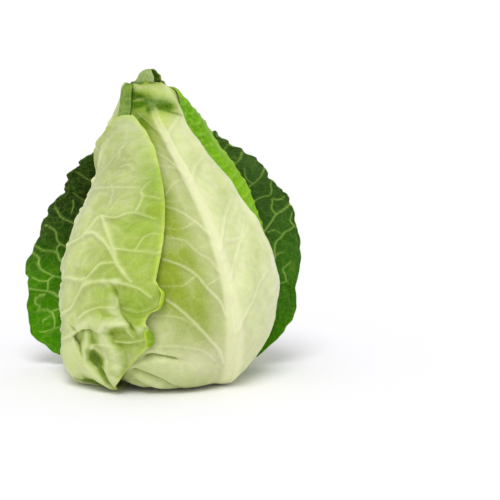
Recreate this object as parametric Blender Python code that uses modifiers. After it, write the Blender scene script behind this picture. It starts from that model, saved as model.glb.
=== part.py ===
"""A pointed cabbage, standing on its cut stem.

Every leaf is a blade that wraps the same head, so all of them are drawn in the head's own
coordinates: how far up the head's profile a point lies from the stem (along, in millimetres),
and how far round the head (turn, in degrees, 0 at the front and growing to the right). Leaves
are stacked outwards in the order in which they grow, each one lifted clear of those beneath it.
Lengths below are in millimetres, and MM turns them into metres when a point is placed.
"""

import math
from dataclasses import dataclass, field

import bmesh
import bpy
import numpy as np

MM = 0.001

# Half section of the packed head, from the stem out under the head and up to its point:
# distance from the axis, and height.
HEAD_PROFILE = [
    (20, 13.5), (34, 12.5), (48, 13.5), (58, 20.5), (65, 34), (69, 53), (69, 70), (66.5, 86), (61.5, 103),
    (53, 120), (44.5, 139), (37.5, 154), (31, 168), (23.5, 184), (18, 197), (14.5, 204.5), (8.5, 209.5),
    (0, 211),
]
# How far the head's axis leans to the right at each height.
LEAN = [(50, 1), (75, 3), (110, 4), (139, 3), (153, 1), (168, -3.5), (184, -7), (198, -8.5), (212, -11.5)]

HEAD_EDGES = 5  # leaf edges that show in relief round the packed head
HEAD_EDGE_STEP = 1.4
HEAD_EDGE_SHARE = 0.09  # share of the way to the next edge in which an edge rises
HEAD_EDGE_TWIST = 0.55  # degrees of turn for each millimetre along
HEAD_COLUMNS = 32
HEAD_ROWS = 28
HEAD_COLOUR = (0.60, 0.68, 0.33)
HEAD_ROUGHNESS = 0.45
SOCKET_HEIGHTS = [66, 40]  # rings of the socket for the core, between its top and the stem

STEM_RADIUS = 17.0
STEM_CUT_RADIUS = 15.2
STEM_CUT_ROUND = 3.0  # height over which the stem widens from its cut
STEM_STEPS = 22
CORE_TOP_RADIUS = 6.5
CORE_TOP = 92.0
CORE_GAP = 0.45
STEM_COLOUR = (0.72, 0.74, 0.50)
STEM_ROUGHNESS = 0.6

BLADE = 1.1  # thickness of a blade between its ribs
GAP = 0.9  # clear space between one leaf and the next
SIDE_VEIN_WIDTH = 3.2
LEAST_RADIUS = 4.0  # distances round the head are measured as if it were never thinner than this
LEAF_BASE = 1.5  # where the blades begin, along the profile
FLOOR_GAP = 0.4
FLOOR_SOFT = 4.0  # depth over which a leaf is pressed in as it nears the floor

MAP_STEP = 1.5  # spacing of the map of leaf heights, along and round the head
MAP_TURN = 1.5
MAP_REACH = 2

ROW_POWER = 1.15  # rows lie closer together towards the base, where the blades bend most


@dataclass
class Leaf:
    """One leaf. Each table holds (along, value) knots; turns are degrees and the rest millimetres."""

    name: str
    rib: list  # turn of the midrib
    left: list  # turn of the margin to the midrib's left
    right: list  # turn of the other margin
    tip: float  # where the blade ends, along the profile
    rib_height: list  # how far the midrib stands out of the blade's outer face
    rib_width: list
    tip_round: float = 40.0  # length over which the blade narrows to its tip
    tip_width: float = 0.16  # share of the blade's width that is left at its very tip
    stand: list = field(default_factory=lambda: [(0, 0)])  # how far the midrib stands off the leaves beneath
    flare_left: list = field(default_factory=lambda: [(0, 0)])  # how much further the margin stands off
    flare_right: list = field(default_factory=lambda: [(0, 0)])
    flare_power: float = 2.0
    ruffle: float = 1.0  # height of the waves along the margins
    ruffle_length: float = 30.0
    ruffle_phase: float = 0.0
    folds: list = field(default_factory=list)  # ridges, or dents: along, turn, length, width, slant, height
    vein_spacing: float = 26.0
    vein_climb: float = 0.75  # how steeply the side veins climb away from the midrib
    vein_height: float = 0.6
    cover_near: float = 5.0  # how far past its margins this leaf still holds the next one off
    cover_far: float = 16.0
    columns: tuple = (8, 8)  # to the midrib's left and right
    rows: int = 28
    colour: tuple = (0.5, 0.6, 0.26)
    roughness: float = 0.42


LEAVES = [
    Leaf(
        name="wrapper_leaf_back",
        rib=[(0, -165), (244, -165)],
        left=[(0, -205), (30, -225), (80, -245), (180, -250), (240, -270)],
        right=[(0, -125), (30, -108), (80, -92), (180, -86), (240, -70)],
        tip=228,
        rib_height=[(0, 2.6), (40, 3.4), (120, 1.8), (200, 0.5), (240, 0)],
        rib_width=[(0, 12), (60, 8), (240, 3)],
        stand=[(0, 0), (215, 0), (228, 1.5)],
        ruffle=0.6, cover_near=3, cover_far=9,
        columns=(6, 6), rows=26,
    ),
    Leaf(
        name="wrapper_leaf_right",
        rib=[(0, 110), (60, 112), (130, 116), (190, 122), (244, 125)],
        left=[(0, 78), (30, 58), (80, 46), (115, 50), (128, 63), (138, 76), (152, 78), (165, 77), (200, 76),
              (225, 70), (244, 58)],
        right=[(0, 145), (30, 168), (80, 184), (180, 190), (244, 210)],
        tip=238,
        rib_height=[(0, 2.6), (40, 3.6), (120, 1.8), (200, 0.6), (240, 0)],
        rib_width=[(0, 12), (60, 8), (240, 3)],
        flare_left=[(0, 0), (120, 0), (138, 6), (155, 7.5), (172, 8), (200, 8), (225, 5), (240, 1)],
        stand=[(0, 0), (226, 0), (238, 1)],
        flare_power=2.6, ruffle=1.2, cover_near=2.5, cover_far=8,
        columns=(9, 7),
        colour=(0.32, 0.52, 0.06),
    ),
    Leaf(
        name="wrapper_leaf_front",
        rib=[(0, 58), (30, 50), (50, 43), (76, 38), (99, 34), (122, 30), (147, 26), (173, 19), (196, 14),
             (208, 10), (218, 4), (232, -2), (243, -6)],
        left=[(0, -20), (15, -30), (30, -45), (50, -58), (85, -64), (130, -66), (200, -62), (225, -70),
              (243, -95)],
        right=[(0, 98), (30, 90), (60, 86), (90, 82), (107, 78), (123, 72), (138, 70), (155, 65), (176, 60),
               (190, 56), (209, 57), (226, 59), (234, 63), (243, 80)],
        tip=243,
        rib_height=[(0, 2.4), (40, 4.6), (90, 4.2), (150, 2.4), (200, 1.0), (240, 0.2)],
        rib_width=[(0, 16), (40, 13), (100, 8), (160, 5.5), (246, 3)],
        tip_round=20, tip_width=0.5,
        flare_right=[(0, 0), (45, 1), (70, 3), (95, 3), (115, 2), (140, 1), (243, 1)],
        flare_power=3.0, ruffle=0.8, ruffle_length=27,
        folds=[(27, 20, 84, 12, 0, 5.5), (52, -2, 50, 5.5, 0, 3), (38, 2, 55, 5, 6, 3)],
        vein_spacing=25, vein_height=1,
        columns=(11, 8), rows=32,
        colour=(0.72, 0.78, 0.42),
    ),
    Leaf(
        name="wrapper_leaf_left",
        rib=[(0, -62), (60, -64), (150, -72), (210, -78), (240, -85), (252, -105)],
        left=[(0, -100), (60, -125), (150, -135), (210, -142), (238, -165), (245, -215), (252, -250)],
        right=[(0, -50), (30, -40), (60, -30), (100, -15), (170, -12), (205, -27), (217, -34), (230, -37),
               (238, -30), (245, 0), (252, 30)],
        tip=252,
        rib_height=[(0, 2.4), (40, 2.6), (120, 1.2), (200, 0.6), (240, 0)],
        rib_width=[(0, 12), (60, 8), (240, 3)],
        tip_round=1, tip_width=0.95,
        stand=[(0, 0), (240, 0), (244, 1.5), (248, 4.5), (252, 6)],
        ruffle=0.5,
        columns=(6, 8),
        colour=(0.30, 0.42, 0.14),
    ),
    Leaf(
        name="wrapper_leaf_front_left",
        rib=[(0, -105), (50, -101), (100, -98), (150, -92), (190, -68), (219, -33)],
        left=[(0, -126), (15, -122), (30, -120), (50, -130), (90, -138), (130, -128), (150, -120), (180, -96),
              (194, -78), (202, -68), (208, -61), (214, -53), (218, -43)],
        right=[(0, -38), (12, -33), (25, -28), (38, -22), (48, -17), (56, -13), (62, -9), (68, -8), (74, -10),
               (83, -8), (88, -4), (96, -3), (101, -6), (128, -3), (154, -2), (174, -3), (192, -3), (200, -6),
               (207, -10), (213, -18), (218, -27)],
        tip=218,
        rib_height=[(0, 2.0), (40, 3.0), (120, 1.8), (200, 0.6), (219, 0)],
        rib_width=[(0, 14), (60, 9), (219, 3)],
        tip_round=1, tip_width=0.9,
        flare_right=[(0, 0), (40, 2), (90, 1.6), (150, 1.5), (190, 1), (219, 0.3)],
        flare_left=[(0, 0), (30, 2), (60, 1), (219, 0.3)],
        flare_power=3.0, ruffle=1.2, ruffle_length=31, ruffle_phase=1.3,
        folds=[
            (46, -58, 80, 15, 0, 8), (71, -35, 44, 5, 15, 4.5), (60, -49, 16, 5, 0, -3.5),
            (55, -43, 24, 5, -70, 4.5), (50, -37, 12, 5, 80, -4), (55, -28, 34, 5, -78, 4.5),
            (42, -34, 12, 4, 0, -3.5), (38, -54, 30, 5, 0, 4.5), (46, -72, 26, 5.5, 65, 2.5),
            (48, -20, 26, 4.5, -60, 2), (113, -34, 50, 6, 42, 3), (84, -22, 36, 5.5, 70, 2.8),
        ],
        vein_spacing=27, vein_climb=0.9, vein_height=0.9,
        columns=(6, 18), rows=34,
        colour=(0.55, 0.64, 0.27),
    ),
    Leaf(
        name="outer_leaf_right",
        rib=[(0, 140), (60, 141), (120, 140), (170, 136), (200, 132)],
        left=[(0, 124), (20, 120), (35, 112), (60, 106), (125, 106), (160, 108), (200, 114)],
        right=[(0, 168), (20, 176), (40, 188), (80, 196), (130, 192), (170, 180), (200, 160)],
        tip=200,
        rib_height=[(0, 1.2), (40, 3.4), (100, 2.6), (160, 1.4), (200, 0)],
        rib_width=[(0, 12), (60, 9), (200, 3)],
        tip_round=50, tip_width=0.22,
        stand=[(0, 0), (40, 1), (120, 2), (200, 5)],
        flare_left=[(0, 0), (30, 2), (45, 8), (58, 13), (80, 15), (100, 18), (125, 20), (150, 17), (175, 10),
                    (200, 1)],
        flare_right=[(0, 0), (25, 2), (50, 5), (120, 8), (170, 5), (200, 1)],
        flare_power=1.7, ruffle=3.0, ruffle_length=34, vein_spacing=24, vein_height=0.9,
        columns=(9, 6), rows=32,
        colour=(0.06, 0.15, 0.03), roughness=0.5,
    ),
    Leaf(
        name="outer_leaf_left",
        rib=[(0, -142), (60, -142), (120, -140), (170, -136), (198, -132)],
        left=[(0, -170), (20, -178), (40, -192), (80, -202), (130, -198), (170, -182), (198, -160)],
        right=[(0, -126), (20, -121), (35, -112), (60, -106), (125, -106), (160, -108), (198, -114)],
        tip=198,
        rib_height=[(0, 2.8), (40, 3.4), (100, 2.6), (160, 1.4), (198, 0)],
        rib_width=[(0, 12), (60, 9), (198, 3)],
        tip_round=50, tip_width=0.22,
        stand=[(0, 0), (40, 1), (120, 2), (198, 5)],
        flare_left=[(0, 0), (25, 2), (50, 5), (120, 8), (170, 5), (198, 1)],
        flare_right=[(0, 0), (30, 2), (45, 9), (57, 21), (66, 25), (75, 27), (90, 27), (110, 24), (130, 20),
                     (150, 18), (170, 14), (198, 2)],
        flare_power=1.7, ruffle=3.0, ruffle_length=32, ruffle_phase=2.0, vein_spacing=24, vein_height=0.9,
        columns=(6, 9), rows=32,
        colour=(0.06, 0.15, 0.03), roughness=0.5,
    ),
]


def curve(knots, at):
    """Smooth curve through (position, value) knots that never swings past them, level beyond its two ends."""
    x = np.array([k[0] for k in knots], float)
    y = np.array([k[1] for k in knots], float)
    at = np.asarray(at, float)
    if len(knots) == 1:
        return np.full(at.shape, y[0])
    rise = np.diff(y) / np.diff(x)
    before, after = rise[:-1], rise[1:]
    same_way = before * after > 0
    inner = np.where(same_way, 2 * before * after / np.where(same_way, before + after, 1), 0)
    slope = np.concatenate([rise[:1], inner, rise[-1:]])
    at = np.clip(at, x[0], x[-1])
    i = np.clip(np.searchsorted(x, at, side="right") - 1, 0, len(x) - 2)
    step = x[i + 1] - x[i]
    t = (at - x[i]) / step
    return (
        (2 * t**3 - 3 * t**2 + 1) * y[i]
        + (t**3 - 2 * t**2 + t) * step * slope[i]
        + (3 * t**2 - 2 * t**3) * y[i + 1]
        + (t**3 - t**2) * step * slope[i + 1]
    )


def soft_step(x, start, end):
    """0 before start, 1 after end, and smooth between them."""
    t = np.clip((x - start) / (end - start), 0, 1)
    return t * t * (3 - 2 * t)


def profile_knots():
    """The head's profile as (along, radius) and (along, height) knots."""
    radii, heights, along = [], [], 0.0
    for i, (radius, height) in enumerate(HEAD_PROFILE):
        if i:
            before = HEAD_PROFILE[i - 1]
            along += math.hypot(radius - before[0], height - before[1])
        radii.append((along, radius))
        heights.append((along, height))
    return radii, heights


RADII, HEIGHTS = profile_knots()
HEAD_LENGTH = RADII[-1][0]


def section(along):
    """Radius and height of the head at a distance along its profile, and its outward direction there."""
    reach = 0.5
    along = np.clip(along, 0, HEAD_LENGTH - reach)
    ahead, behind = along + reach, np.maximum(along - reach, 0)
    d_radius = curve(RADII, ahead) - curve(RADII, behind)
    d_height = curve(HEIGHTS, ahead) - curve(HEIGHTS, behind)
    length = np.hypot(d_radius, d_height)
    return curve(RADII, along), curve(HEIGHTS, along), d_height / length, -d_radius / length


def place(along, turn, lift):
    """Points in millimetres, lifted off the head's surface."""
    radius, height, out, up = section(along)
    radius = radius + out * lift
    height = height + up * lift
    angle = np.radians(turn)
    x = curve(LEAN, height) + radius * np.sin(angle)
    return np.stack([x, -radius * np.cos(angle), height], axis=-1)


def head_relief(along, turn):
    """How far the packed head's own leaf edges stand out, as overlapping shingles that wind up it."""
    phase = (turn + HEAD_EDGE_TWIST * along) * HEAD_EDGES / 360.0
    phase = phase - np.floor(phase)
    shingle = soft_step(phase, 0, HEAD_EDGE_SHARE) * (1 - 0.85 * phase)
    fade = soft_step(along, 10, 40) * (1 - soft_step(along, HEAD_LENGTH - 30, HEAD_LENGTH - 4))
    return HEAD_EDGE_STEP * shingle * fade


def margins(leaf, along):
    """Turns of the left margin, the midrib and the right margin."""
    share = np.clip((along - (leaf.tip - leaf.tip_round)) / leaf.tip_round, 0, 1)
    close = np.sqrt(np.clip(1 - share**2 * (1 - leaf.tip_width**2), 0, 1))
    rib = curve(leaf.rib, along)
    left = rib + (curve(leaf.left, along) - rib) * close
    right = rib + (curve(leaf.right, along) - rib) * close
    return left, rib, right


def nearest_turn(turn, rib):
    """The same direction round the head, counted from within half a turn of the midrib."""
    return rib + (turn - rib + 180) % 360 - 180


def millimetres_round(along, degrees):
    """Length round the head of a difference in turn."""
    return np.radians(degrees) * np.maximum(curve(RADII, along), LEAST_RADIUS)


def across(leaf, along, turn):
    """Where a point lies from the midrib (0) to the margins (-1 and 1), and its distance from the midrib."""
    left, rib, right = margins(leaf, along)
    from_rib = nearest_turn(turn, rib) - rib
    half = np.where(from_rib < 0, rib - left, right - rib)
    return from_rib / np.maximum(half, 0.001), millimetres_round(along, from_rib)


def cover(leaf, along, turn):
    """1 over the leaf and a little past its margins, falling to 0 further out."""
    left, rib, right = margins(leaf, along)
    turn = nearest_turn(turn, rib)
    outside = millimetres_round(along, np.maximum(left - turn, turn - right))
    outside = np.maximum(outside, np.maximum(along - leaf.tip, LEAF_BASE - along))
    return 1 - soft_step(outside, leaf.cover_near, leaf.cover_far)


def side_veins(leaf, along, distance):
    """Ridges that leave the midrib and climb towards the margins, 0 to 1, by turns on its two sides."""
    away = np.abs(distance)
    start = along - LEAF_BASE - leaf.vein_climb * away
    steps = start / leaf.vein_spacing - np.where(distance > 0, 0.5, 0)
    off = np.abs(steps - np.round(steps)) * leaf.vein_spacing
    fade = soft_step(away, 2, 8) * (1 - 0.6 * soft_step(away, 35, 80))
    return np.exp(-((off / SIDE_VEIN_WIDTH) ** 2)) * fade


def fold_height(leaf, along, turn):
    """Sum of the ridges and dents where the blade is buckled."""
    total = np.zeros(np.broadcast(along, turn).shape)
    for at_along, at_turn, length, width, slant, height in leaf.folds:
        right = millimetres_round(along, turn - at_turn)
        up = along - at_along
        c, s = math.cos(math.radians(slant)), math.sin(math.radians(slant))
        lengthwise = (right * c + up * s) / (length / 2)
        sideways = (up * c - right * s) / width
        total = total + height * np.exp(-(lengthwise**2) - sideways**2)
    return total


def thickness(leaf, along, distance):
    """Blade, midrib and side veins together."""
    crest = np.exp(-1.4 * (distance / curve(leaf.rib_width, along)) ** 2)
    midrib = curve(leaf.rib_height, along) * crest
    return BLADE + midrib + leaf.vein_height * side_veins(leaf, along, distance)


def own_lift(leaf, along, turn):
    """How far a leaf stands off what lies beneath it, apart from the gap."""
    side, _ = across(leaf, along, turn)
    reach = np.minimum(np.abs(side), 1)
    flare = np.where(side < 0, curve(leaf.flare_left, along), curve(leaf.flare_right, along))
    phase = 2 * math.pi * along / leaf.ruffle_length + leaf.ruffle_phase + np.where(side < 0, 1.7, 0)
    ruffle = leaf.ruffle * (0.5 + 0.5 * np.sin(phase)) * reach**5 * soft_step(along, 18, 45)
    lift = curve(leaf.stand, along) + flare * reach**leaf.flare_power + ruffle + fold_height(leaf, along, turn)
    return np.maximum(lift, 0)


def spread(field, reach, join):
    """Each cell joined with those within reach of it, round the head without a break."""
    for axis, mode in ((0, "edge"), (1, "wrap")):
        pads = [(0, 0), (0, 0)]
        pads[axis] = (reach, reach)
        padded = np.pad(field, pads, mode=mode)
        size = field.shape[axis]
        field = join([np.take(padded, range(k, k + size), axis) for k in range(2 * reach + 1)], axis=0)
    return field


def sample(field, along, turn):
    """A value of the map between its cells."""
    rows, columns = field.shape
    i = np.clip(np.asarray(along) / MAP_STEP, 0, rows - 1.001)
    j = (np.asarray(turn) + 180) / MAP_TURN % columns
    i0, j0 = i.astype(int), j.astype(int) % columns
    u, v = i - i0, j - np.floor(j)
    j1 = (j0 + 1) % columns
    low = field[i0, j0] * (1 - v) + field[i0, j1] * v
    high = field[i0 + 1, j0] * (1 - v) + field[i0 + 1, j1] * v
    return low * (1 - u) + high * u


def settle(lift, thick, along):
    """The lift of a leaf, pressed in where its outer face would sink below the floor."""
    _, height, _, up = section(along)
    room = (height - FLOOR_GAP) / np.maximum(-up, 0.02) - thick  # without end where the head faces up
    blend = np.clip(0.5 + (lift - room) / FLOOR_SOFT, 0, 1)
    return lift + (room - lift) * blend - FLOOR_SOFT / 2 * blend * (1 - blend)


def leaf_faces(leaf, beneath, along, turn):
    """Lift of the leaf's inner face over what lies beneath it, and its thickness."""
    _, distance = across(leaf, along, turn)
    thick = thickness(leaf, along, distance)
    return settle(beneath + GAP + own_lift(leaf, along, turn), thick, along), thick


def stack():
    """For each leaf in turn, a map of the height of what lies beneath it."""
    along = np.arange(0, HEAD_LENGTH, MAP_STEP)
    along, turn = np.meshgrid(along, np.arange(-180, 180, MAP_TURN), indexing="ij")
    top = np.full(along.shape, HEAD_EDGE_STEP)
    maps = []
    for leaf in LEAVES:
        beneath = spread(spread(top, MAP_REACH, np.max), MAP_REACH, np.mean)
        maps.append(beneath)
        lift, thick = leaf_faces(leaf, beneath, along, turn)
        top = np.maximum(top, (lift + thick) * cover(leaf, along, turn))
    return maps


def leaf_grid(leaf):
    """Along and turn of the points of a leaf, in rows from its base to its tip."""
    along = LEAF_BASE + (leaf.tip - LEAF_BASE) * np.linspace(0, 1, leaf.rows + 1) ** ROW_POWER
    on_left, on_right = leaf.columns
    side = np.concatenate([np.linspace(-1, 0, on_left + 1), np.linspace(0, 1, on_right + 1)[1:]])
    along, side = np.meshgrid(along, side, indexing="ij")
    left, rib, right = margins(leaf, along)
    turn = rib + np.where(side < 0, side * (rib - left), side * (right - rib))
    return along, turn


def material(name, colour, roughness):
    made = bpy.data.materials.new(name)
    made.use_nodes = True
    made.diffuse_color = (*colour, 1)
    shader = made.node_tree.nodes["Principled BSDF"]
    shader.inputs["Base Color"].default_value = (*colour, 1)
    shader.inputs["Roughness"].default_value = roughness
    shader.inputs["Metallic"].default_value = 0
    return made


def add_object(name, mesh, collection, finish):
    made = bpy.data.objects.new(name, mesh)
    collection.objects.link(made)
    mesh.materials.append(finish)
    mesh.shade_smooth()
    return made


def build_leaf(leaf, beneath, collection):
    """A flat grid laid on the leaf's inner face and thickened outwards, most along its ribs."""
    along, turn = leaf_grid(leaf)
    lift, thick = leaf_faces(leaf, sample(beneath, along, turn), along, turn)
    points = place(along, turn, lift)

    columns = sum(leaf.columns)
    shape = bmesh.new()
    bmesh.ops.create_grid(shape, x_segments=columns, y_segments=leaf.rows, size=1)
    cells = [[], []]
    for vert in shape.verts:
        row = round((vert.co.y + 1) / 2 * leaf.rows)
        column = round((vert.co.x + 1) / 2 * columns)
        cells[0].append(row)
        cells[1].append(column)
        vert.co = points[row, column] * MM
    bmesh.ops.triangulate(shape, faces=shape.faces, quad_method="FIXED")
    mesh = bpy.data.meshes.new(leaf.name)
    shape.to_mesh(mesh)
    shape.free()

    made = add_object(leaf.name, mesh, collection, material(leaf.name, leaf.colour, leaf.roughness))
    most = float(thick.max())
    weights = made.vertex_groups.new(name="thickness")
    for index, share in enumerate((thick / most)[tuple(cells)]):
        weights.add([index], float(share), "REPLACE")
    shell = made.modifiers.new("Thickness", "SOLIDIFY")
    shell.thickness = most * MM
    shell.offset = 1
    shell.vertex_group = "thickness"
    return made


def core_radius(height):
    """Radius of the stem and of the core that it becomes inside the head."""
    foot = STEM_CUT_RADIUS + (STEM_RADIUS - STEM_CUT_RADIUS) * math.sqrt(min(1, height / STEM_CUT_ROUND))
    neck = HEAD_PROFILE[0][1]
    taper = max(0, (height - neck) / (CORE_TOP - neck))
    return foot - (STEM_RADIUS - CORE_TOP_RADIUS) * taper


def build_head(collection):
    """The packed head: a ball pulled to the head's shape, with a socket below for the stem's core."""
    top = CORE_TOP + CORE_GAP
    heights = [top, *SOCKET_HEIGHTS, HEAD_PROFILE[0][1]]
    socket = [(0, top)] + [(core_radius(height) + CORE_GAP, height) for height in heights]
    rings = HEAD_ROWS + len(socket)
    shape = bmesh.new()
    bmesh.ops.create_uvsphere(shape, u_segments=HEAD_COLUMNS, v_segments=rings, radius=1)
    for vert in shape.verts:
        ring = round((0.5 + math.asin(max(-1, min(1, vert.co.z))) / math.pi) * rings)
        angle = math.atan2(vert.co.x, -vert.co.y)
        if ring < len(socket):
            radius, height = socket[ring]
            vert.co = (radius * math.sin(angle) * MM, -radius * math.cos(angle) * MM, height * MM)
        else:
            along = np.array(HEAD_LENGTH * (ring - len(socket)) / HEAD_ROWS)
            turn = np.degrees(angle)
            vert.co = place(along, turn, head_relief(along, turn)) * MM
    bmesh.ops.recalc_face_normals(shape, faces=shape.faces)
    mesh = bpy.data.meshes.new("packed_head")
    shape.to_mesh(mesh)
    shape.free()
    return add_object("packed_head", mesh, collection, material("packed_head", HEAD_COLOUR, HEAD_ROUGHNESS))


def build_stem(collection):
    """The cut stem, whose flat foot the cabbage stands on, and the core that it runs up into."""
    heights = [CORE_TOP, 80, 60, 40, 24, 12, STEM_CUT_ROUND, 1.5, 0.5, 0]
    outline = [(0, CORE_TOP)] + [(core_radius(height), height) for height in heights] + [(0, 0)]
    shape = bmesh.new()
    verts = [shape.verts.new((radius * MM, 0, height * MM)) for radius, height in outline]
    for first, second in zip(verts, verts[1:]):
        shape.edges.new((first, second))
    mesh = bpy.data.meshes.new("stem_and_core")
    shape.to_mesh(mesh)
    shape.free()
    made = add_object("stem_and_core", mesh, collection, material("stem_and_core", STEM_COLOUR, STEM_ROUGHNESS))
    turned = made.modifiers.new("Turned", "SCREW")
    turned.steps = turned.render_steps = STEM_STEPS
    turned.use_merge_vertices = True
    turned.merge_threshold = 0.00005
    return made


def main():
    for old in list(bpy.data.objects):
        bpy.data.objects.remove(old)
    collection = bpy.data.collections.new("pointed_cabbage")
    bpy.context.scene.collection.children.link(collection)
    build_stem(collection)
    build_head(collection)
    for leaf, beneath in zip(LEAVES, stack()):
        build_leaf(leaf, beneath, collection)


if __name__ == "__main__":
    main()
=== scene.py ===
"""The looks of a pointed cabbage: fine leaves with veins, folds and colours, in place of the frame's solids.

Every leaf wraps the same head, so all of them are drawn in the head's own coordinates: how far up
the head's profile a point lies from the stem (along, in millimetres), and how far round the head
(turn, in degrees, 0 at the front and growing to the right). The leaves are stacked as in the frame
and then get their veins, net, puckers and colours. MM turns millimetres into metres.
"""

import math
from collections.abc import Sequence
from dataclasses import dataclass
from functools import partial
from types import SimpleNamespace

import bpy
import numpy as np
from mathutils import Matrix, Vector
from mathutils.geometry import delaunay_2d_cdt


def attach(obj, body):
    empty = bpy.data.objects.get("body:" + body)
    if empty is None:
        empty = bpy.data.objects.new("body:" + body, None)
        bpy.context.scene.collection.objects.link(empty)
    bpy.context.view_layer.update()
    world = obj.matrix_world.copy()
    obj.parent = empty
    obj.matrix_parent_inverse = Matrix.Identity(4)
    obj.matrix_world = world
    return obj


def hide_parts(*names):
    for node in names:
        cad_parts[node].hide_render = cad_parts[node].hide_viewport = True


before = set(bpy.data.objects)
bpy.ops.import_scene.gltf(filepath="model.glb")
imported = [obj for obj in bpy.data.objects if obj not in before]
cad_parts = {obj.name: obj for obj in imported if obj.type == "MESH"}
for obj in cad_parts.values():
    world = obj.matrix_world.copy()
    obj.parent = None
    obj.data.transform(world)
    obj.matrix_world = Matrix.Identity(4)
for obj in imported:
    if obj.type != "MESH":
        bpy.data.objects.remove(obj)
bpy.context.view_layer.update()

MM = 0.001
FINENESS = 1.0

# The head's half section and lean, as in the frame: distance from the axis and height, then height and lean.
HEAD_PROFILE = [
    (20, 13.5), (34, 12.5), (48, 13.5), (58, 20.5), (65, 34), (69, 53), (69, 70), (66.5, 86), (61.5, 103),
    (53, 120), (44.5, 139), (37.5, 154), (31, 168), (23.5, 184), (18, 197), (14.5, 204.5), (8.5, 209.5),
    (0, 211),
]
LEAN = [(50, 1), (75, 3), (110, 4), (139, 3), (153, 1), (168, -3.5), (184, -7), (198, -8.5), (212, -11.5)]

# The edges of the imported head's own leaves.
HEAD_EDGES = 5
HEAD_EDGE_STEP = 1.4
HEAD_EDGE_SHARE = 0.09
HEAD_EDGE_TWIST = 0.55
HEAD_EDGE_FALL = 0.85
HEAD_EDGE_START = (10, 40)  # the edges grow between these from the stem up
HEAD_EDGE_END = (30, 4)  # and fade out between these distances from the point

STEM_RADIUS = 17.0
STEM_CUT_RADIUS = 15.2
STEM_CUT_ROUND = 3.0
CORE_TOP_RADIUS = 6.5
CORE_TOP = 92.0
WOOD_RING = 0.78 * STEM_CUT_RADIUS
WOOD_WIDTH = 1.4

# How the leaves are stacked, as in the frame.
BLADE = 1.1
GAP = 0.9
SIDE_VEIN_WIDTH = 3.2
SIDE_VEIN_START = (2, 8)  # distances from the midrib between which a side vein grows
SIDE_VEIN_END, SIDE_VEIN_LOSS = (35, 80), 0.6  # the same for where it gets lower, and by what share
RIB_SHARPNESS = 1.4
LEFT_PHASE = 1.7  # how far the ruffles of a leaf's left margin are ahead of those of its right one
RUFFLE_START = (18, 45)  # the ruffles grow between these from the stem up
RUFFLE_POWER = 5  # the higher, the closer the ruffles keep to the margins
LEAST_RADIUS = 4.0
LEAF_BASE = 1.5
FLOOR_GAP = 0.4
FLOOR_SOFT = 4.0
MAP_STEP = 1.5
MAP_TURN = 1.5
MAP_REACH = 2

# The blades and their margins.
ROW_POWER = 1.15  # above 1 the rows of points lie closer together near the stem
EDGE_THIN = 0.5  # share of the blade's thickness that is left at its margins
EDGE_REACH = 3.0
LEAST_THICK = 0.4
HALF_WIDTH = 40.0  # of a leaf, for the noises that shape its margins
SCALLOPS = ((0.6, 12.0, 5), (0.6, 4.0, 12))  # share, cell of the noise, and what is added to the seed
SCALLOP_POWER = 8
TIP_WAVE_CELL = 13
TUCK_REACH = 5.0  # degrees within which a margin that runs on beneath another leaf gets thin and lies close
TUCK_THIN, TUCK_IN = 0.6, 0.8
HIDDEN_NEAR, HIDDEN_FAR = 1.0, 7.0  # a leaf's relief fades out where another one comes to lie on it
RELIEF_START = (10, 50)  # the relief grows between these from the stem up
NORMAL_ROUNDS = 2  # how often the directions in which a leaf is thick are smoothed
LEAST_FORWARD = 0.3  # limits the dents of a crumpled part where it faces sideways

# The midrib, the veins and the net.
RIB_CREST, RIB_CREST_WIDTH, RIB_FLANK_WIDTH = 0.75, 0.5, 1.3  # share of the height, and shares of the width
VEIN_STEP = 2.0  # spacing of the points along a vein
VEIN_SEARCH = 14.0  # how far from a vein its distance is worked out
FULL_VEIN = 1.4  # width from which a vein stands out fully
RIDGE_SHARE, RIDGE_MORE = 0.8, 0.6  # a ridge's width: a share of the vein's own, and what is added
LINE_MORE = 0.4  # what is added to a vein's width for its line of colour
NET_WIDTH = 0.8
NET_LINE = 0.6  # width of the net in the colours
PUFF_REACH = 4.0  # distance from its veins over which the blade swells
WAVES = ((0.7, 24, 3), (0.3, 9, 4))  # share of the height, cell, and what is added to the leaf's seed
GROWN_STEP = 4
GROWN_FIRST, GROWN_LAST = 10, 25  # from the base, and from the tip
GROWN_SPACING = (0.8, 1.1)  # shares of the leaf's vein spacing
GROWN_HEADING = (28, 38)  # degrees above level at which a side vein leaves the midrib
GROWN_BEND = (-3, 5)
GROWN_REACH = 0.94  # share of the way to the margin
GROWN_MOST = 40
GROWN_LEAST = 3
FORK_EVERY = 3
FORK_STEPS = (2, 5)  # from the first number to one below the second
FORK_ANGLE = 48
FORK_BEND = 14
FORK_WIDTH = (0.7, 0.35)

# The folds.
CREASE_ROUND = 0.7
CREASE_REACH = 2.4  # in widths of the crease
CREASE_WANDER, CREASE_WANDER_CELL = 1.1, 7
CREASE_END = 0.2  # share of its length over which a crease gets lower at either end
CREASE_LEAST = 0.25  # share of its height that is left there
VALLEY_REACH = 4  # points of the grid round each one that a fold's height is compared with

# Noise: the numbers of random values each way, and where the first one lies.
NOISE_CELLS, NET_CELLS = 64, 48
NOISE_CORNER = (17.3, 9.1)
NET_SPREAD = (0.12, 0.88)  # the part of a cell in which the middle of its field lies
NET_BEND, NET_BEND_CELL = 0.3, 0.55  # how far the net's lines wander, in cells of the net

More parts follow.
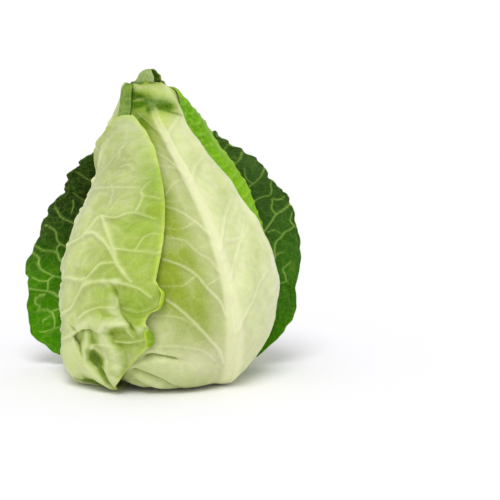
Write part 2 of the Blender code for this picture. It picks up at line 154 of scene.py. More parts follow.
# Leaf colours, linear.
CREAM = (0.86, 0.83, 0.52)
IVORY = (0.72, 0.77, 0.42)
WHITE_RIB = (0.84, 0.86, 0.62)
PALE = (0.57, 0.64, 0.27)
GREY_PALE = (0.46, 0.52, 0.22)
BEIGE = (0.51, 0.56, 0.25)
BEIGE_BASE = (0.66, 0.68, 0.40)
YELLOW_GREEN = (0.46, 0.60, 0.08)
FRESH = (0.27, 0.41, 0.03)
OLIVE = (0.28, 0.37, 0.03)
MOSS = (0.08, 0.19, 0.004)
# The next two colours are painted shade, for dents, slits, the curled tip's foot and valleys; LIT_FOLD below
# is painted light on bumps and crests.
HOLLOW_SHADE = (0.05, 0.13, 0.001)
VALLEY_SHADE = (0.20, 0.30, 0.02)
LIT_FOLD = (0.66, 0.73, 0.37)
LIGHT_GREEN = (0.39, 0.50, 0.10)
BRIGHT = (0.15, 0.38, 0.001)
LIME = (0.50, 0.72, 0.06)
CURL_LIME = (0.52, 0.67, 0.06)
FOLD_GREEN = (0.17, 0.29, 0.06)
DARK = (0.042, 0.098, 0.016)
DARK_GREY = (0.06, 0.11, 0.035)
DARK_TOP = (0.022, 0.058, 0.012)
DARK_LOW = (0.07, 0.28, 0.001)
DARK_BACK = (0.15, 0.26, 0.09)
DARK_VEIN = (0.44, 0.66, 0.14)
DARK_NET = (0.09, 0.19, 0.03)

# How the colours go with the shapes.
EDGE_TINT, EDGE_TINT_SHARE = 3.5, 0.8  # how far in the margins' colour reaches, and how strong it is
FIELD_SHADE = (0.14, 0.06, 0.32)  # share of each colour that the fields between the veins send back less
FIELD_LIFT = 0.03  # how much lighter the blade is beside the veins and the net
RIB_TINT = (0.25, 0.85)  # shares of the midrib's height between which its colour comes in
RIB_END = (10, 45)  # distances from the tip between which that colour comes in
VEIN_SHADE_FROM, VEIN_SHADE_WIDTH = 2.2, 1.4  # the painted shade in darker stripes beside the veins
FIELD_REACH = (1.0, 5.5)  # distances from a vein or the net between which a field gets darker
NET_COUNTS = 1.5  # times that a distance from the net counts beside one from a vein
SWEEP_WANDER = ((3, 14, 10),)  # height, cell, and what is added to the leaf's seed
MOTTLE = ((0.06, 9, 6), (0.04, 3, 7))  # the same
FOLD_COLOURS = [  # painted shade in dents and valleys, painted light on bumps and crests: measure of the fold, colour, share of it, and the depths between which it comes in
    ("dent", HOLLOW_SHADE, 0.95, 1.0, 3.4), ("bump", LIT_FOLD, 0.45, 0.8, 3.2),
    ("valley", VALLEY_SHADE, 0.75, 0.2, 1.5), ("crest", LIT_FOLD, 0.7, 0.15, 1.2),
]
FLAT_UNIT = 100  # millimetres in one unit of the flat coordinates


@dataclass(frozen=True)
class Face:
    """The colours of one side of a leaf."""

    blade: Sequence = PALE
    edge: Sequence = YELLOW_GREEN
    vein: Sequence = IVORY
    net: Sequence = IVORY
    base: Sequence = WHITE_RIB
    base_reach: Sequence = (10, 80)  # the base's colour fades out between these
    net_show: float = 0.3  # how clearly the fine veins show
    vein_show: float = 0.8
    rib_show: float = 0.9
    vein_shade: float = 0.1  # painted shade: how much darker the blade is just beside its veins
    fields: float = 1.0  # share of FIELD_SHADE that shows
    sweeps: Sequence = ()  # the blade turns to a colour between two distances from the midrib
    tints: Sequence = ()  # along, turn, length, width, slant, colour, amount


@dataclass(frozen=True)
class Roll:
    """A part of the right margin that is bent over outwards and runs on straight after an angle."""

    along: float
    length: float
    width: float
    radius: float
    angle: float
    beyond: float  # share of the width that lies beyond the frame's margin


LEVEL = ((0, 0),)  # a table that is 0 all the way up


@dataclass(frozen=True)
class Leaf:
    """One leaf. Each table holds (along, value) knots; turns are degrees and the rest millimetres."""

    name: str
    rib: Sequence
    left: Sequence
    right: Sequence
    tip: float
    rib_height: Sequence
    rib_width: Sequence
    tip_round: float = 40.0
    tip_width: float = 0.16
    stand: Sequence = LEVEL
    flare_left: Sequence = LEVEL
    flare_right: Sequence = LEVEL
    flare_power: float = 2.0
    ruffle: float = 1.0
    ruffle_length: float = 30.0
    ruffle_phase: float = 0.0
    folds: Sequence = ()  # along, turn, length, width, slant, height
    vein_spacing: float = 26.0
    vein_climb: float = 0.75
    vein_height: float = 0.6
    cover_near: float = 5.0
    cover_far: float = 16.0
    # From here on, what the looks add to the frame's leaf.
    seed: int = 1
    rows: int = 200
    columns: Sequence = (130, 30)  # of the outer and the inner face
    crowded: float = 1.0  # below 1 the inner face's columns crowd to the right margin, above 1 to the left
    veins: Sequence = ()  # start width, end width, and (along, turn) points
    grown: Sequence = (True, True)  # whether side veins grow by rule to the midrib's left and right
    grown_width: Sequence = (1.3, 0.6)
    full_vein: float = 1.4  # width from which a vein shows fully in the colours
    vein_lines: Sequence = (0.5, 0.5)  # how wide the veins' colour is on the outer and the inner face
    ridge: float = 1.0  # how far a main vein stands out of the outer face
    sunk: float = 0.3  # how far it lies sunk in the inner face
    net_cell: float = 10.0  # size of the fields between the fine veins
    net_ridge: float = 0.2
    puff: float = 0.4  # how far the blade swells between its veins
    waves: float = 0.4  # height of the blade's unevenness
    teeth: float = 0.3  # depth of the small scallops along the margins
    creases: Sequence = ()  # height, width to the left and to the right, and (along, turn) points
    crumple: Sequence = ()  # corners of a crumpled part: along, turn, and how far they stand forward
    rolls: Sequence = ()
    rib_share: float = 1.0  # share of the frame's midrib height
    tip_wave: float = 0.0  # unevenness of the top margin
    tucked: Sequence = LEVEL  # degrees that the left margin runs on beneath another leaf
    outside: Face = Face()
    inside: Face = Face()
    roughness: float = 0.42
    glow: float = 0.25  # share of the light that passes through the tissue


OUTER_LEAF = dict(
    tip_round=50, tip_width=0.22, flare_power=1.7, ruffle=3.0, vein_spacing=24, vein_height=0.9,
    rows=240, columns=(120, 180), grown_width=(1.0, 0.5), full_vein=0.7, vein_lines=(1.0, 0.42),
    ridge=0.9, sunk=0.6, net_cell=7.5, puff=1.4, waves=1.2, teeth=2.2, roughness=0.45, glow=0.15,
    outside=Face(blade=DARK_BACK, edge=DARK_BACK, vein=YELLOW_GREEN, net=FRESH, base=IVORY, net_show=0.4),
)
OUTER_INSIDE = dict(edge=DARK_GREY, vein=DARK_VEIN, net=DARK_NET, base=DARK_LOW, net_show=0.4, vein_show=1.0)

BACK = Leaf(
    name="wrapper_leaf_back",
    rib=[(0, -165), (244, -165)],
    left=[(0, -205), (30, -225), (80, -245), (180, -250), (240, -270)],
    right=[(0, -125), (30, -108), (80, -92), (180, -86), (240, -70)],
    tip=228,
    rib_height=[(0, 2.6), (40, 3.4), (120, 1.8), (200, 0.5), (240, 0)],
    rib_width=[(0, 12), (60, 8), (240, 3)],
    stand=[(0, 0), (215, 0), (228, 1.5)],
    ruffle=0.6, cover_near=3, cover_far=9,
    rows=150, columns=(120, 30), seed=11,
    outside=Face(vein=CREAM, net_show=0.35),
)

RIGHT = Leaf(
    name="wrapper_leaf_right",
    rib=[(0, 110), (60, 112), (130, 116), (190, 122), (244, 125)],
    left=[
        (0, 78), (30, 58), (80, 46), (115, 50), (128, 63), (138, 76), (152, 78), (165, 77), (200, 75),
        (225, 64), (244, 52),
    ],
    right=[(0, 145), (30, 168), (80, 184), (180, 190), (244, 210)],
    tip=238,
    rib_height=[(0, 2.6), (40, 3.6), (120, 1.8), (200, 0.6), (240, 0)],
    rib_width=[(0, 12), (60, 8), (240, 3)],
    folds=[(160, 90, 48, 12, 90, 4.6), (211, 90, 32, 10, 90, 4.6)],
    tucked=[(0, 0), (118, 0), (136, 22), (225, 20), (240, 10)],
    ruffle=0.3, cover_near=2.5, cover_far=8,
    rows=240, columns=(100, 70), seed=12,
    veins=[
        (1, 0.7, [(at, 112), (at + 7, 96), (at + 9, 86), (at + 7, 74), (at + 8, 60)])
        for at in range(124, 226, 8)
    ],
    grown=(False, True), waves=0.7, net_cell=5,
    outside=Face(
        blade=BRIGHT, edge=BRIGHT, vein=(0.32, 0.60, 0.07), net=(0.24, 0.50, 0.03),
        net_show=0.5, vein_show=0.7, sweeps=[(-20, -4, YELLOW_GREEN)],
        tints=[
            (150, 84, 60, 16, 90, (0.23, 0.50, 0.004), 0.9),
            # the lime tints at turns 92 and 93 are a painted highlight along the strip's outer rim
            (222, 80, 50, 20, 90, (0.10, 0.30, 0.002), 0.9), (190, 92, 120, 3, 90, LIME, 0.35),
            (158, 93, 60, 5, 90, LIME, 0.5),
        ],
    ),
    glow=0.12,
)

FRONT = Leaf(
    name="wrapper_leaf_front",
    rib=[
        (0, 58), (30, 50), (50, 43), (76, 38), (99, 34), (122, 30), (147, 26), (173, 19), (196, 14),
        (208, 10), (218, 4), (232, -2), (243, -6),
    ],
    left=[
        (0, -40), (15, -50), (30, -57), (50, -60), (85, -64), (130, -66), (200, -62), (225, -70),
        (243, -95),
    ],
    right=[
        (0, 98), (30, 90), (60, 86), (90, 82), (107, 78), (123, 75), (138, 73), (155, 68), (176, 62),
        (190, 56), (209, 53), (226, 51), (234, 54), (243, 74),
    ],
    tip=243,
    rib_height=[(0, 2.4), (40, 4.6), (90, 4.2), (150, 2.4), (200, 1), (240, 0.2)],
    rib_width=[(0, 16), (40, 13), (100, 8), (160, 5.5), (246, 3)],
    tip_round=20, tip_width=0.5,
    flare_right=[(0, 0), (45, 1), (70, 3), (95, 3), (115, 2), (140, 1), (243, 1)],
    flare_power=3.0, ruffle=0.8, ruffle_length=27,
    folds=[(26, 12, 112, 12, 0, 8), (52, -2, 50, 5.5, 0, 3), (38, 2, 55, 5, 6, 3)],
    vein_spacing=25, vein_height=1, tip_wave=1.2,
    rows=300, columns=(240, 80), seed=13,
    veins=[
        (1, 0.6, [(132, 26), (137, 23), (143, 18), (151, 8), (156, -4)]),
        (0.7, 0.5, [(108, 29), (116, 25), (122, 17), (130, 10), (133, -2)]),
        (1.2, 0.8, [(78, 34), (88, 30), (98, 22), (107, 16), (114, 7), (118, -3)]),
        (1.2, 0.9, [(44, 38), (53, 33), (60, 28), (74, 17), (82, 10), (88, 4), (94, -4)]),
        (0.6, 0.4, [(60, 27), (68, 21), (75, 14), (80, 5), (81, -6)]),
        (0.6, 0.4, [(47, 31), (56, 20), (60, 3), (60, -8)]),
        (0.7, 0.4, [(122, 30), (134, 35), (145, 42), (156, 55)]),
        (0.6, 0.4, [(102, 34), (118, 42), (135, 56), (142, 63)]),
        (0.8, 0.5, [(68, 40), (80, 46), (87, 51), (96, 56), (103, 67)]),
        (0.7, 0.4, [(40, 47), (50, 56), (60, 68), (68, 80)]),
        (0.9, 0.4, [(200, 12), (208, 18), (214, 30), (218, 40)]),
        (0.7, 0.4, [(170, 20), (182, 30), (188, 44)]),
        (0.5, 0.4, [(205, 10), (215, -8), (222, -26)]),
        (0.6, 0.4, [(175, 18), (188, 6), (196, -8)]),
        (0.5, 0.3, [(182, 10), (183, 3), (184, -4)]),
        (0.5, 0.3, [(163, -2), (170, 4), (175, 16)]),
        (0.5, 0.3, [(100, 22), (105, 30), (112, 33)]),
        (0.5, 0.3, [(143, 18), (138, 6), (140, -4)]),
        (0.5, 0.3, [(107, 16), (100, 6), (100, -5)]),
        (0.5, 0.3, [(128, 34), (128, 48), (134, 60)]),
    ],
    grown=(False, False),
    creases=[
        (2.4, 3.5, 15, [(244, -8), (226, 0), (208, 9), (190, 15), (173, 19), (147, 26), (122, 30), (99, 34),
            (76, 38), (50, 43), (26, 51)]),
        (-4, 2.6, 1.4, [(52, -22), (52, -14), (53, -8), (52.5, -3), (51, 2), (49, 10)]),
        (-4, 2.4, 1.4, [(43, -26), (40, -17), (37, -9), (34.5, -3), (31, 3), (28, 12)]),
        (-2.5, 1.4, 2.2, [(34, -26), (30, -18), (26, -11), (22, -4)]),
    ],
    crumple=[
        (70, -16, 0), (71, -4, 0), (70, 8, 0), (62, 24, 0), (48, 34, 0), (32, 38, 0), (14, 30, 0),
        (9, 4, 0), (8, -18, 1), (10, -36, 2), (26, -46, 0), (42, -40, 0), (60, -26, 0), (36, -29, 3),
        (27, -30, 3.6), (19, -28, 3.2), (61, -12, 1.6), (61, -3, 1.6), (58, 8, 1.2), (56, -14, 2.6),
        (56.5, -9, 3), (56, -4, 3), (53, -14, 2), (53, -6, 2.2), (51, 2, 2), (49, 10, 1.4),
        (44, -19, 4.2), (47, -12, 5.2), (49, -6, 5), (49, 0, 4), (48, 8, 2.4), (45, 17, 1.2),
        (41, -17, 3), (38.5, -12, 3), (36, -7, 3), (34, -1, 2.8), (30, 5, 2), (28, 14, 1.2),
        (44, -10, 5.2), (43, -4, 4.8), (40, 5, 3.6), (37, 15, 2), (32, -18, 5.4), (33, -11, 5),
        (30, -4, 4.4), (26, 3, 3.4), (22, 12, 1.6), (25, -20, 5), (20, -20, 4), (22, -8, 4),
        (16, -6, 2.4), (14, -20, 4), (15, -32, 5), (14, -42, 4),
    ],
    rib_share=0.5, ridge=1.3, net_ridge=0.08, net_cell=13, puff=0.5, waves=0.8,
    outside=Face(
        blade=OLIVE, edge=(0.80, 0.83, 0.56), vein=(0.85, 0.86, 0.54), base=BEIGE_BASE,
        base_reach=(8, 40), net_show=0.1, rib_show=0.65, vein_shade=0.05, fields=0.35,
        # the beige sweep is partly the blade's paler colour near the midrib and partly painted shade on the
        # midrib's left flank
        sweeps=[(-24, -8, BEIGE), (-4, 4, IVORY)],
        tints=[
            (70, -8, 50, 14, 0, BEIGE, 1.1), (104, 12, 26, 5, -70, BEIGE, 0.5),
            (128, 2, 22, 5, 10, BEIGE, 0.5), (46, 22, 80, 18, 0, BEIGE_BASE, 1),
            (160, 48, 46, 7, 70, LIGHT_GREEN, 0.35), (118, 58, 50, 7, 75, LIGHT_GREEN, 0.3),
            (185, 34, 30, 5, 70, LIGHT_GREEN, 0.3), (110, 76, 90, 6, 90, (0.82, 0.84, 0.60), 0.8),
            (238, -12, 22, 4, 0, (0.55, 0.62, 0.30), 0.8), (240, -28, 8, 2.5, 0, WHITE_RIB, 0.8),
            # the darker green tints from along 222 up are painted shade: in the dents either side of the
            # midrib near the tip, in the slit beside the left leaf's rolled fold, and at 243.5 under the
            # curled tip
            (212, 0, 40, 8, -70, (0.42, 0.50, 0.11), 0.7), (230, -20, 26, 7, 0, OLIVE, 0.7),
            (226, 20, 20, 5, 0, OLIVE, 0.5), (230, -34, 40, 9, 0, (0.30, 0.44, 0.03), 1.1),
            (225, 16, 24, 8, -10, (0.36, 0.48, 0.05), 0.9), (243.5, 0, 34, 3.4, 0, OLIVE, 1.2),
            (228, 8, 9, 6, 90, IVORY, 0.7), (233, -36, 22, 3.4, -10, HOLLOW_SHADE, 1.6),
            (227.5, -36, 22, 2.6, 10, (0.06, 0.17, 0.002), 1.8), (231, -30, 12, 0.9, 12, LIGHT_GREEN, 0.7),
            (224, -5, 6, 2.4, 80, MOSS, 1.5), (227, 18, 12, 3.6, -8, MOSS, 1.9),
            (226, 19, 9, 1.9, -8, HOLLOW_SHADE, 1.2), (222, 29, 15, 1, -22, MOSS, 1),
            (214, -18, 17, 5, -60, (0.13, 0.25, 0.008), 1.3), (203, -12, 22, 5, -70, OLIVE, 1),
            (217, 14, 14, 6, -20, YELLOW_GREEN, 0.35),
        ],
    ),
    roughness=0.38,
)

LEFT = Leaf(
    name="wrapper_leaf_left",
    rib=[(0, -62), (60, -64), (150, -72), (210, -78), (240, -85), (252, -105)],
    left=[(0, -100), (60, -125), (150, -135), (210, -142), (238, -165), (245, -215), (252, -250)],
    right=[
        (0, -50), (30, -40), (60, -30), (100, -15), (170, -12), (205, -25), (217, -31), (230, -33),
        (238, -33), (243, -24), (247, 4), (252, 30),
    ],
    tip=240,
    rib_height=[(0, 2.4), (40, 2.6), (120, 1.2), (200, 0.6), (240, 0)],
    rib_width=[(0, 12), (60, 8), (240, 3)],
    tip_round=1, tip_width=0.95,
    ruffle=0.5,
    rows=220, columns=(130, 50), seed=14,
    veins=[(0.8, 0.6, [(at, -20), (at + 1, -36), (at + 3, -60)]) for at in (213, 221, 230, 237)],
    rolls=[Roll(along=224, length=40, width=12.5, radius=0.7, angle=172, beyond=0.8)],
    outside=Face(blade=GREY_PALE, edge=(0.42, 0.50, 0.16), net=YELLOW_GREEN),
    inside=Face(
        blade=FOLD_GREEN, edge=FOLD_GREEN, vein=YELLOW_GREEN, net=YELLOW_GREEN, base=FOLD_GREEN,
        net_show=0.2, vein_show=0.4,
        tints=[(240, -42, 20, 9, 90, MOSS, 0.7), (212, -50, 30, 4, 90, FRESH, 0.6)],
    ),
    net_cell=7,
)

FRONT_LEFT = Leaf(
    name="wrapper_leaf_front_left",
    rib=[(0, -105), (50, -101), (100, -98), (150, -92), (190, -68), (219, -33)],
    left=[
        (0, -126), (15, -122), (30, -120), (50, -130), (90, -138), (130, -128), (150, -120), (180, -96),
        (194, -78), (202, -68), (208, -61), (214, -53), (218, -43),
    ],
    right=[
        (0, -58), (14, -50), (22, -42), (30, -36), (38, -30), (46, -21), (54, -14), (62, -9), (68, -8),
        (74, -10), (83, -8), (88, -4), (96, -3), (101, -6), (128, -3), (154, -2), (174, -3), (192, -3),
        (200, -6), (207, -10), (213, -18), (218, -27),
    ],
    tip=218,
    rib_height=[(0, 2), (40, 3), (120, 1.8), (200, 0.6), (219, 0)],
    rib_width=[(0, 14), (60, 9), (219, 3)],
    tip_round=1, tip_width=0.9,
    flare_right=[(0, 0), (40, 2), (90, 1.6), (150, 1.5), (190, 1), (219, 0.3)],
    flare_left=[(0, 0), (30, 2), (60, 1), (120, 1.5), (150, 3.5), (178, 5.4), (196, 2.8), (219, 0.3)],
    flare_power=3.0, ruffle=1.2, ruffle_length=31, ruffle_phase=1.3,
    folds=[
        (42, -84, 76, 13, 0, 12), (71, -35, 44, 5, 15, 4.5), (60, -49, 16, 5, 0, -3.5),
        (55, -43, 24, 5, -70, 4.5), (50, -37, 12, 5, 80, -4), (55, -28, 34, 5, -78, 4.5),
        (42, -34, 12, 4, 0, -3.5), (38, -54, 30, 5, 0, 4.5), (46, -72, 26, 5.5, 65, 2.5),
        (48, -20, 26, 4.5, -60, 2), (113, -34, 50, 6, 42, 3), (84, -22, 36, 5.5, 70, 2.8),
    ],
    vein_spacing=27, vein_climb=0.9, vein_height=0.9,
    rows=280, columns=(240, 100), seed=15,
    veins=[
        (1.4, 0.9, [(96, -97), (105, -88), (114, -78), (124, -62), (128, -56), (130, -48), (128, -42),
            (126, -37), (120, -31), (114, -27), (104, -20)]),
        (1, 0.8, [(126, -57), (134, -52), (142, -50)]),
        (0.9, 0.5, [(142, -48), (142, -39), (144, -33), (146, -30), (148, -22), (147, -17), (144, -8)]),
        (0.8, 0.5, [(148, -21), (155, -18), (160, -17), (158, -5)]),
        (0.7, 0.4, [(160, -17), (164, -19), (170, -13)]),
        (0.9, 0.4, [(130, -94), (150, -84), (160, -70), (164, -49), (166, -21)]),
        (0.8, 0.4, [(152, -90), (172, -70), (184, -52), (192, -42), (198, -34)]),
        (1, 0.8, [(142, -48), (135, -40), (128, -34), (120, -29), (114, -27), (108, -23), (102, -18)]),
        (1.1, 0.7, [(72, -98), (90, -82), (98, -65), (100, -46), (108, -40), (112, -36), (114, -26)]),
        (1.2, 0.7, [(55, -98), (70, -74), (80, -57), (90, -51), (97, -46), (98, -44), (101, -35),
            (102, -28), (100, -19), (98, -13), (94, -8)]),
        (1, 0.6, [(74, -50), (81, -42), (85, -34), (86, -25)]),
        (1.1, 0.8, [(40, -98), (55, -74), (64, -57), (70, -49), (71, -42), (70, -36), (73, -31), (75, -24),
            (74, -19)]),
        (0.9, 0.7, [(92, -26), (81, -24), (76, -21), (68, -16)]),
        (0.7, 0.4, [(122, -29), (122, -16), (121, -7), (122, -4)]),
        (0.7, 0.4, [(122, -18), (130, -14), (133, -9), (132, -6)]),
        (0.8, 0.5, [(64, -26), (64, -20), (66, -12), (68, -8)]),
        (0.8, 0.5, [(57, -44), (60, -39), (61, -33), (60, -27)]),
        (0.6, 0.4, [(86, -22), (84, -14), (86, -8)]),
        (0.6, 0.4, [(180, -40), (182, -32), (178, -26)]),
        (0.6, 0.3, [(192, -42), (186, -44), (180, -50)]),
        (0.5, 0.3, [(166, -48), (160, -44), (152, -46)]),
    ],
    grown=(True, False),
    creases=[
        (2.6, 13, 3, [(141, -47), (135, -40), (128, -34), (120, -29), (114, -27), (108, -23),
            (101, -18)]),
        (1.6, 4, 3, [(98, -65), (100, -46), (108, -40), (112, -36), (114, -27)]),
        (1.4, 3.5, 2.5, [(80, -57), (90, -51), (97, -46), (101, -35), (102, -28), (100, -19)]),
        (1.5, 3, 4, [(142, -49), (134, -52), (126, -57)]),
        (-2.5, 3, 1, [(102, -29), (97, -26), (93, -25.5), (86, -24), (80, -22), (75, -18), (69, -13)]),
        (-2.2, 1.4, 1.4, [(69, -62), (66, -54), (69, -46), (70, -40)]),
        (-2.5, 1.2, 2.2, [(46, -39), (41, -36), (36, -34), (31, -33)]),
    ],
    crumple=[
        (106, -60, 0), (112, -40, 0), (112, -20, 0), (108, -3, 0), (106, 4, 0), (88, 4, 0), (90, -68, 0),
        (90, -80, 0), (70, -80, 0), (50, -80, 0), (30, -82, 0), (18, -66, 0), (17, -50, 0), (18, -36, 0),
        (98, -28, 0.8), (93, -27, 2), (86, -26, 2.4), (80, -24, 2.4), (75, -20.5, 2.2), (70, -16, 1.4),
        (93, -24.5, -1.6), (86, -22.5, -1.8), (82, -20.5, -1.6), (77, -16.5, -1.2), (96, -21, -1.2),
        (94, -13, -1), (88, -8, 0), (82, -14, -0.6), (77, -10, 0.8), (101, -5, 0.4), (87, -4, 0.2),
        (74, -8, 1), (65, -8, 0.6), (56, -10, 0.3), (48, -17, 0.3), (90, -40, 0.2), (84, -36, 0.4),
        (80, -32, 0.4), (88, -50, -0.4), (81, -44, -0.4), (78, -54, 0), (65, -59, 2.2), (69, -50, 3.4),
        (73.5, -42, 3.8), (72, -36, 4.4), (74, -30, 3.8), (75, -24, 2.8), (62, -57, -4), (66, -50, -5),
        (59, -54, -5.5), (56, -54, -4), (69, -42, -1.6), (67, -46, 1.2), (62, -46.5, 2.4),
        (57, -47.5, 2.8), (52, -49, 2.8), (47, -51, 3.2), (65, -40.5, -1.8), (61, -41, -0.8),
        (58, -43.5, 1), (57.5, -39, 1.2), (56, -35.5, 2.4), (70, -35, 4.2), (65, -32.5, 4.6),
        (59, -30, 5), (53, -28, 5.2), (47, -27.5, 5.2), (41, -30, 4.2), (41, -26.5, 1.5), (35, -34, 2.4),
        (35, -29, 1), (52, -33, 3), (46, -34, 3.2), (40, -34.5, 2.4), (53, -40.5, -5.5),
        (49.5, -43, -6.5), (49.5, -37.5, -6), (46, -41, -5), (42, -37.5, -3), (69, -28, -1.6),
        (70, -21, -1.4), (65, -16, -0.4), (62, -25, -1.4), (56, -21, -1), (50, -21, -0.6),
        (43.5, -24, -0.5), (43.5, -55, 3.6), (42, -48, 4), (40.5, -42, 3.4), (54, -57, 1.8),
        (49, -62, 2.6), (41, -65, 3.6), (36.5, -60, -2.5), (36, -53, -5), (35.5, -46, -5),
        (35, -40, -3.5), (30, -64, 2.6), (29, -56, 2.6), (28, -48, 2.4), (28, -40, 1.6), (29, -33, 0.4),
    ],
    ridge=1.9, net_ridge=0.25, net_cell=11, puff=1.4, waves=1.3,
    outside=Face(
        blade=(0.62, 0.67, 0.40), edge=(0.64, 0.80, 0.15), vein=(0.74, 0.79, 0.42),
        base=(0.60, 0.68, 0.32), base_reach=(5, 30), net_show=0.1, vein_show=0.9, fields=0.7,
        sweeps=[(10, 34, PALE), (44, 84, LIGHT_GREEN)],
        tints=[
            (182, -94, 30, 10, 90, GREY_PALE, 1.2), (201, -72, 26, 8, 90, GREY_PALE, 1.2),
            (185, -50, 70, 22, 90, GREY_PALE, 1), (160, -10, 60, 9, 90, FRESH, 0.8),
            # the olive stripe at along 140 is a painted shadow beside a vein
            (140, -36, 16, 3.5, 0, OLIVE, 0.6), (138, -24, 24, 8, 60, FRESH, 0.5),
            (86, -15, 22, 9, 90, FRESH, 0.8), (52, -22, 30, 9, 0, GREY_PALE, 0.6),
            (63, -24, 22, 6, 0, FRESH, 0.4), (104, -50, 26, 3.5, 0, OLIVE, 0.4),
            (120, -46, 20, 4, 20, OLIVE, 0.4), (64, -42, 18, 4, 0, FRESH, 0.5),
            (58, -36, 20, 6, 80, GREY_PALE, 0.4),
        ],
    ),
    inside=Face(
        blade=(0.20, 0.34, 0.02), edge=CURL_LIME, vein=CURL_LIME, net=CURL_LIME,
        base=PALE, base_reach=(25, 50),
    ),
    rolls=[
        Roll(along=93, length=16, width=6.5, radius=1.3, angle=140, beyond=1.3),
        Roll(along=68, length=11, width=10.5, radius=1.6, angle=140, beyond=1.25),
    ],
    glow=0.3,
)

OUTER_RIGHT = Leaf(
    name="outer_leaf_right",
    rib=[(0, 140), (60, 141), (120, 140), (170, 136), (200, 132)],
    left=[(0, 124), (20, 120), (35, 112), (60, 106), (125, 106), (160, 108), (200, 114)],
    right=[(0, 168), (20, 176), (40, 188), (80, 196), (130, 192), (170, 180), (200, 160)],
    tip=195,
    rib_height=[(0, 1.2), (40, 3.4), (100, 2.6), (160, 1.4), (200, 0)],
    rib_width=[(0, 12), (60, 9), (200, 3)],
    stand=[(0, 0), (40, 1), (120, 2), (200, 5)],
    flare_left=[
        (0, 0), (30, 2), (45, 8), (58, 13), (80, 15), (100, 18), (125, 20), (150, 17), (175, 10), (200, 1),
    ],
    flare_right=[(0, 0), (25, 2), (50, 5), (120, 8), (170, 5), (200, 1)],
    ruffle_length=34, crowded=2.1, seed=16,
    veins=[
        (1.1, 0.7, [(96, 139), (106, 131), (114, 125), (118, 122), (122, 119), (126, 116), (128, 111),
            (130, 107)]),
        (1, 0.5, [(118, 139), (128, 130), (138, 122), (139, 118), (139, 114), (144, 111), (148, 110),
            (152, 108)]),
        (1, 0.5, [(134, 139), (143, 130), (151, 122), (152, 120), (156, 114), (158, 112), (161, 110)]),
        (1.1, 0.6, [(80, 140), (90, 128), (98, 120), (102, 120), (108, 119), (112, 115), (114, 114),
            (116, 110), (118, 107)]),
        (0.8, 0.5, [(152, 138), (162, 130), (170, 124), (172, 120), (176, 117)]),
        (0.8, 0.4, [(165, 137), (173, 132), (180, 128), (184, 122)]),
        (1, 0.5, [(62, 141), (72, 128), (80, 118), (84, 112)]),
        (1, 0.5, [(44, 141), (54, 128), (60, 117)]),
        (0.7, 0.5, [(126, 116), (130, 117), (133, 115), (136, 114), (134, 111), (135, 108)]),
        (0.7, 0.5, [(118, 107), (122, 109), (124, 108), (126, 107)]),
        (0.6, 0.4, [(115, 122), (116, 119), (113, 115)]),
        (0.6, 0.4, [(98, 120), (100, 118), (101, 115)]),
        (0.7, 0.4, [(84, 113), (88, 114), (92, 116), (94, 114), (96, 112)]),
        (0.6, 0.4, [(152, 120), (156, 122), (160, 122), (165, 120)]),
    ],
    grown=(False, True),
    inside=Face(
        blade=(0.082, 0.175, 0.042), base_reach=(40, 110), **OUTER_INSIDE,
        tints=[(95, 116, 60, 14, 90, DARK_LOW, 0.5)],
    ),
    **OUTER_LEAF,
)

OUTER_LEFT = Leaf(
    name="outer_leaf_left",
    rib=[(0, -142), (60, -142), (120, -140), (170, -136), (198, -132)],
    left=[(0, -170), (20, -178), (40, -192), (80, -202), (130, -198), (170, -182), (198, -160)],
    right=[(0, -126), (20, -121), (35, -112), (60, -106), (125, -106), (160, -108), (198, -114)],
    tip=198,
    rib_height=[(0, 2.8), (40, 3.4), (100, 2.6), (160, 1.4), (198, 0)],
    rib_width=[(0, 12), (60, 9), (198, 3)],
    stand=[(0, 0), (40, 1), (120, 2), (198, 5)],
    flare_left=[(0, 0), (25, 2), (50, 5), (120, 8), (170, 5), (198, 1)],
    flare_right=[
        (0, 0), (30, 2), (45, 9), (57, 21), (66, 25), (75, 27), (90, 27), (110, 24), (130, 20), (150, 16),
        (163, 9), (178, 2), (198, 0),
    ],
    ruffle_length=32, ruffle_phase=2.0, crowded=0.48, seed=17,
    veins=[
        (1.1, 0.5, [(84, -141), (91, -128), (96, -117), (99, -116), (100, -114), (100, -111), (102, -108),
            (104, -105)]),
        (1.2, 0.6, [(60, -142), (67, -128), (72, -118), (74, -116), (76, -112), (78, -108), (80, -105)]),
        (1, 0.5, [(72, -141), (80, -128), (86, -116), (89, -113), (92, -111), (94, -110)]),
        (1, 0.5, [(106, -140), (113, -128), (120, -118), (123, -112), (126, -110), (128, -108)]),
        (1, 0.5, [(92, -141), (99, -128), (105, -116), (110, -113), (113, -112), (116, -109),
            (117, -107)]),
        (1, 0.5, [(42, -142), (50, -128), (56, -116), (56, -110), (57, -108)]),
        (1, 0.5, [(50, -142), (60, -128), (67, -116), (66, -114), (68, -112), (68, -109)]),
        (0.8, 0.4, [(126, -139), (132, -128), (136, -118), (140, -112)]),
        (0.8, 0.4, [(144, -138), (150, -128), (154, -118), (158, -112)]),
        (0.7, 0.5, [(105, -116), (102, -115), (99, -116)]),
        (0.7, 0.5, [(94, -110), (95, -110), (96, -110), (99, -107)]),
        (0.8, 0.6, [(86, -115), (83, -113), (80, -113), (76, -113)]),
        (0.7, 0.5, [(83, -113), (84, -110), (85, -109), (87, -108)]),
        (0.6, 0.4, [(74, -112), (74, -110), (72, -108), (70, -110), (68, -109)]),
        (0.7, 0.5, [(66, -114), (62, -114), (57, -113)]),
        (0.6, 0.4, [(63, -110), (64, -112), (64, -114)]),
        (0.6, 0.4, [(134, -114), (130, -116), (126, -116)]),
    ],
    grown=(True, False),
    inside=Face(
        blade=DARK, base_reach=(50, 115), **OUTER_INSIDE,
        tints=[(75, -114, 60, 18, 90, DARK_LOW, 0.8), (145, -112, 50, 14, 90, DARK_TOP, 0.8)],
    ),
    **OUTER_LEAF,
)

LEAVES = [BACK, RIGHT, FRONT, LEFT, FRONT_LEFT, OUTER_RIGHT, OUTER_LEFT]


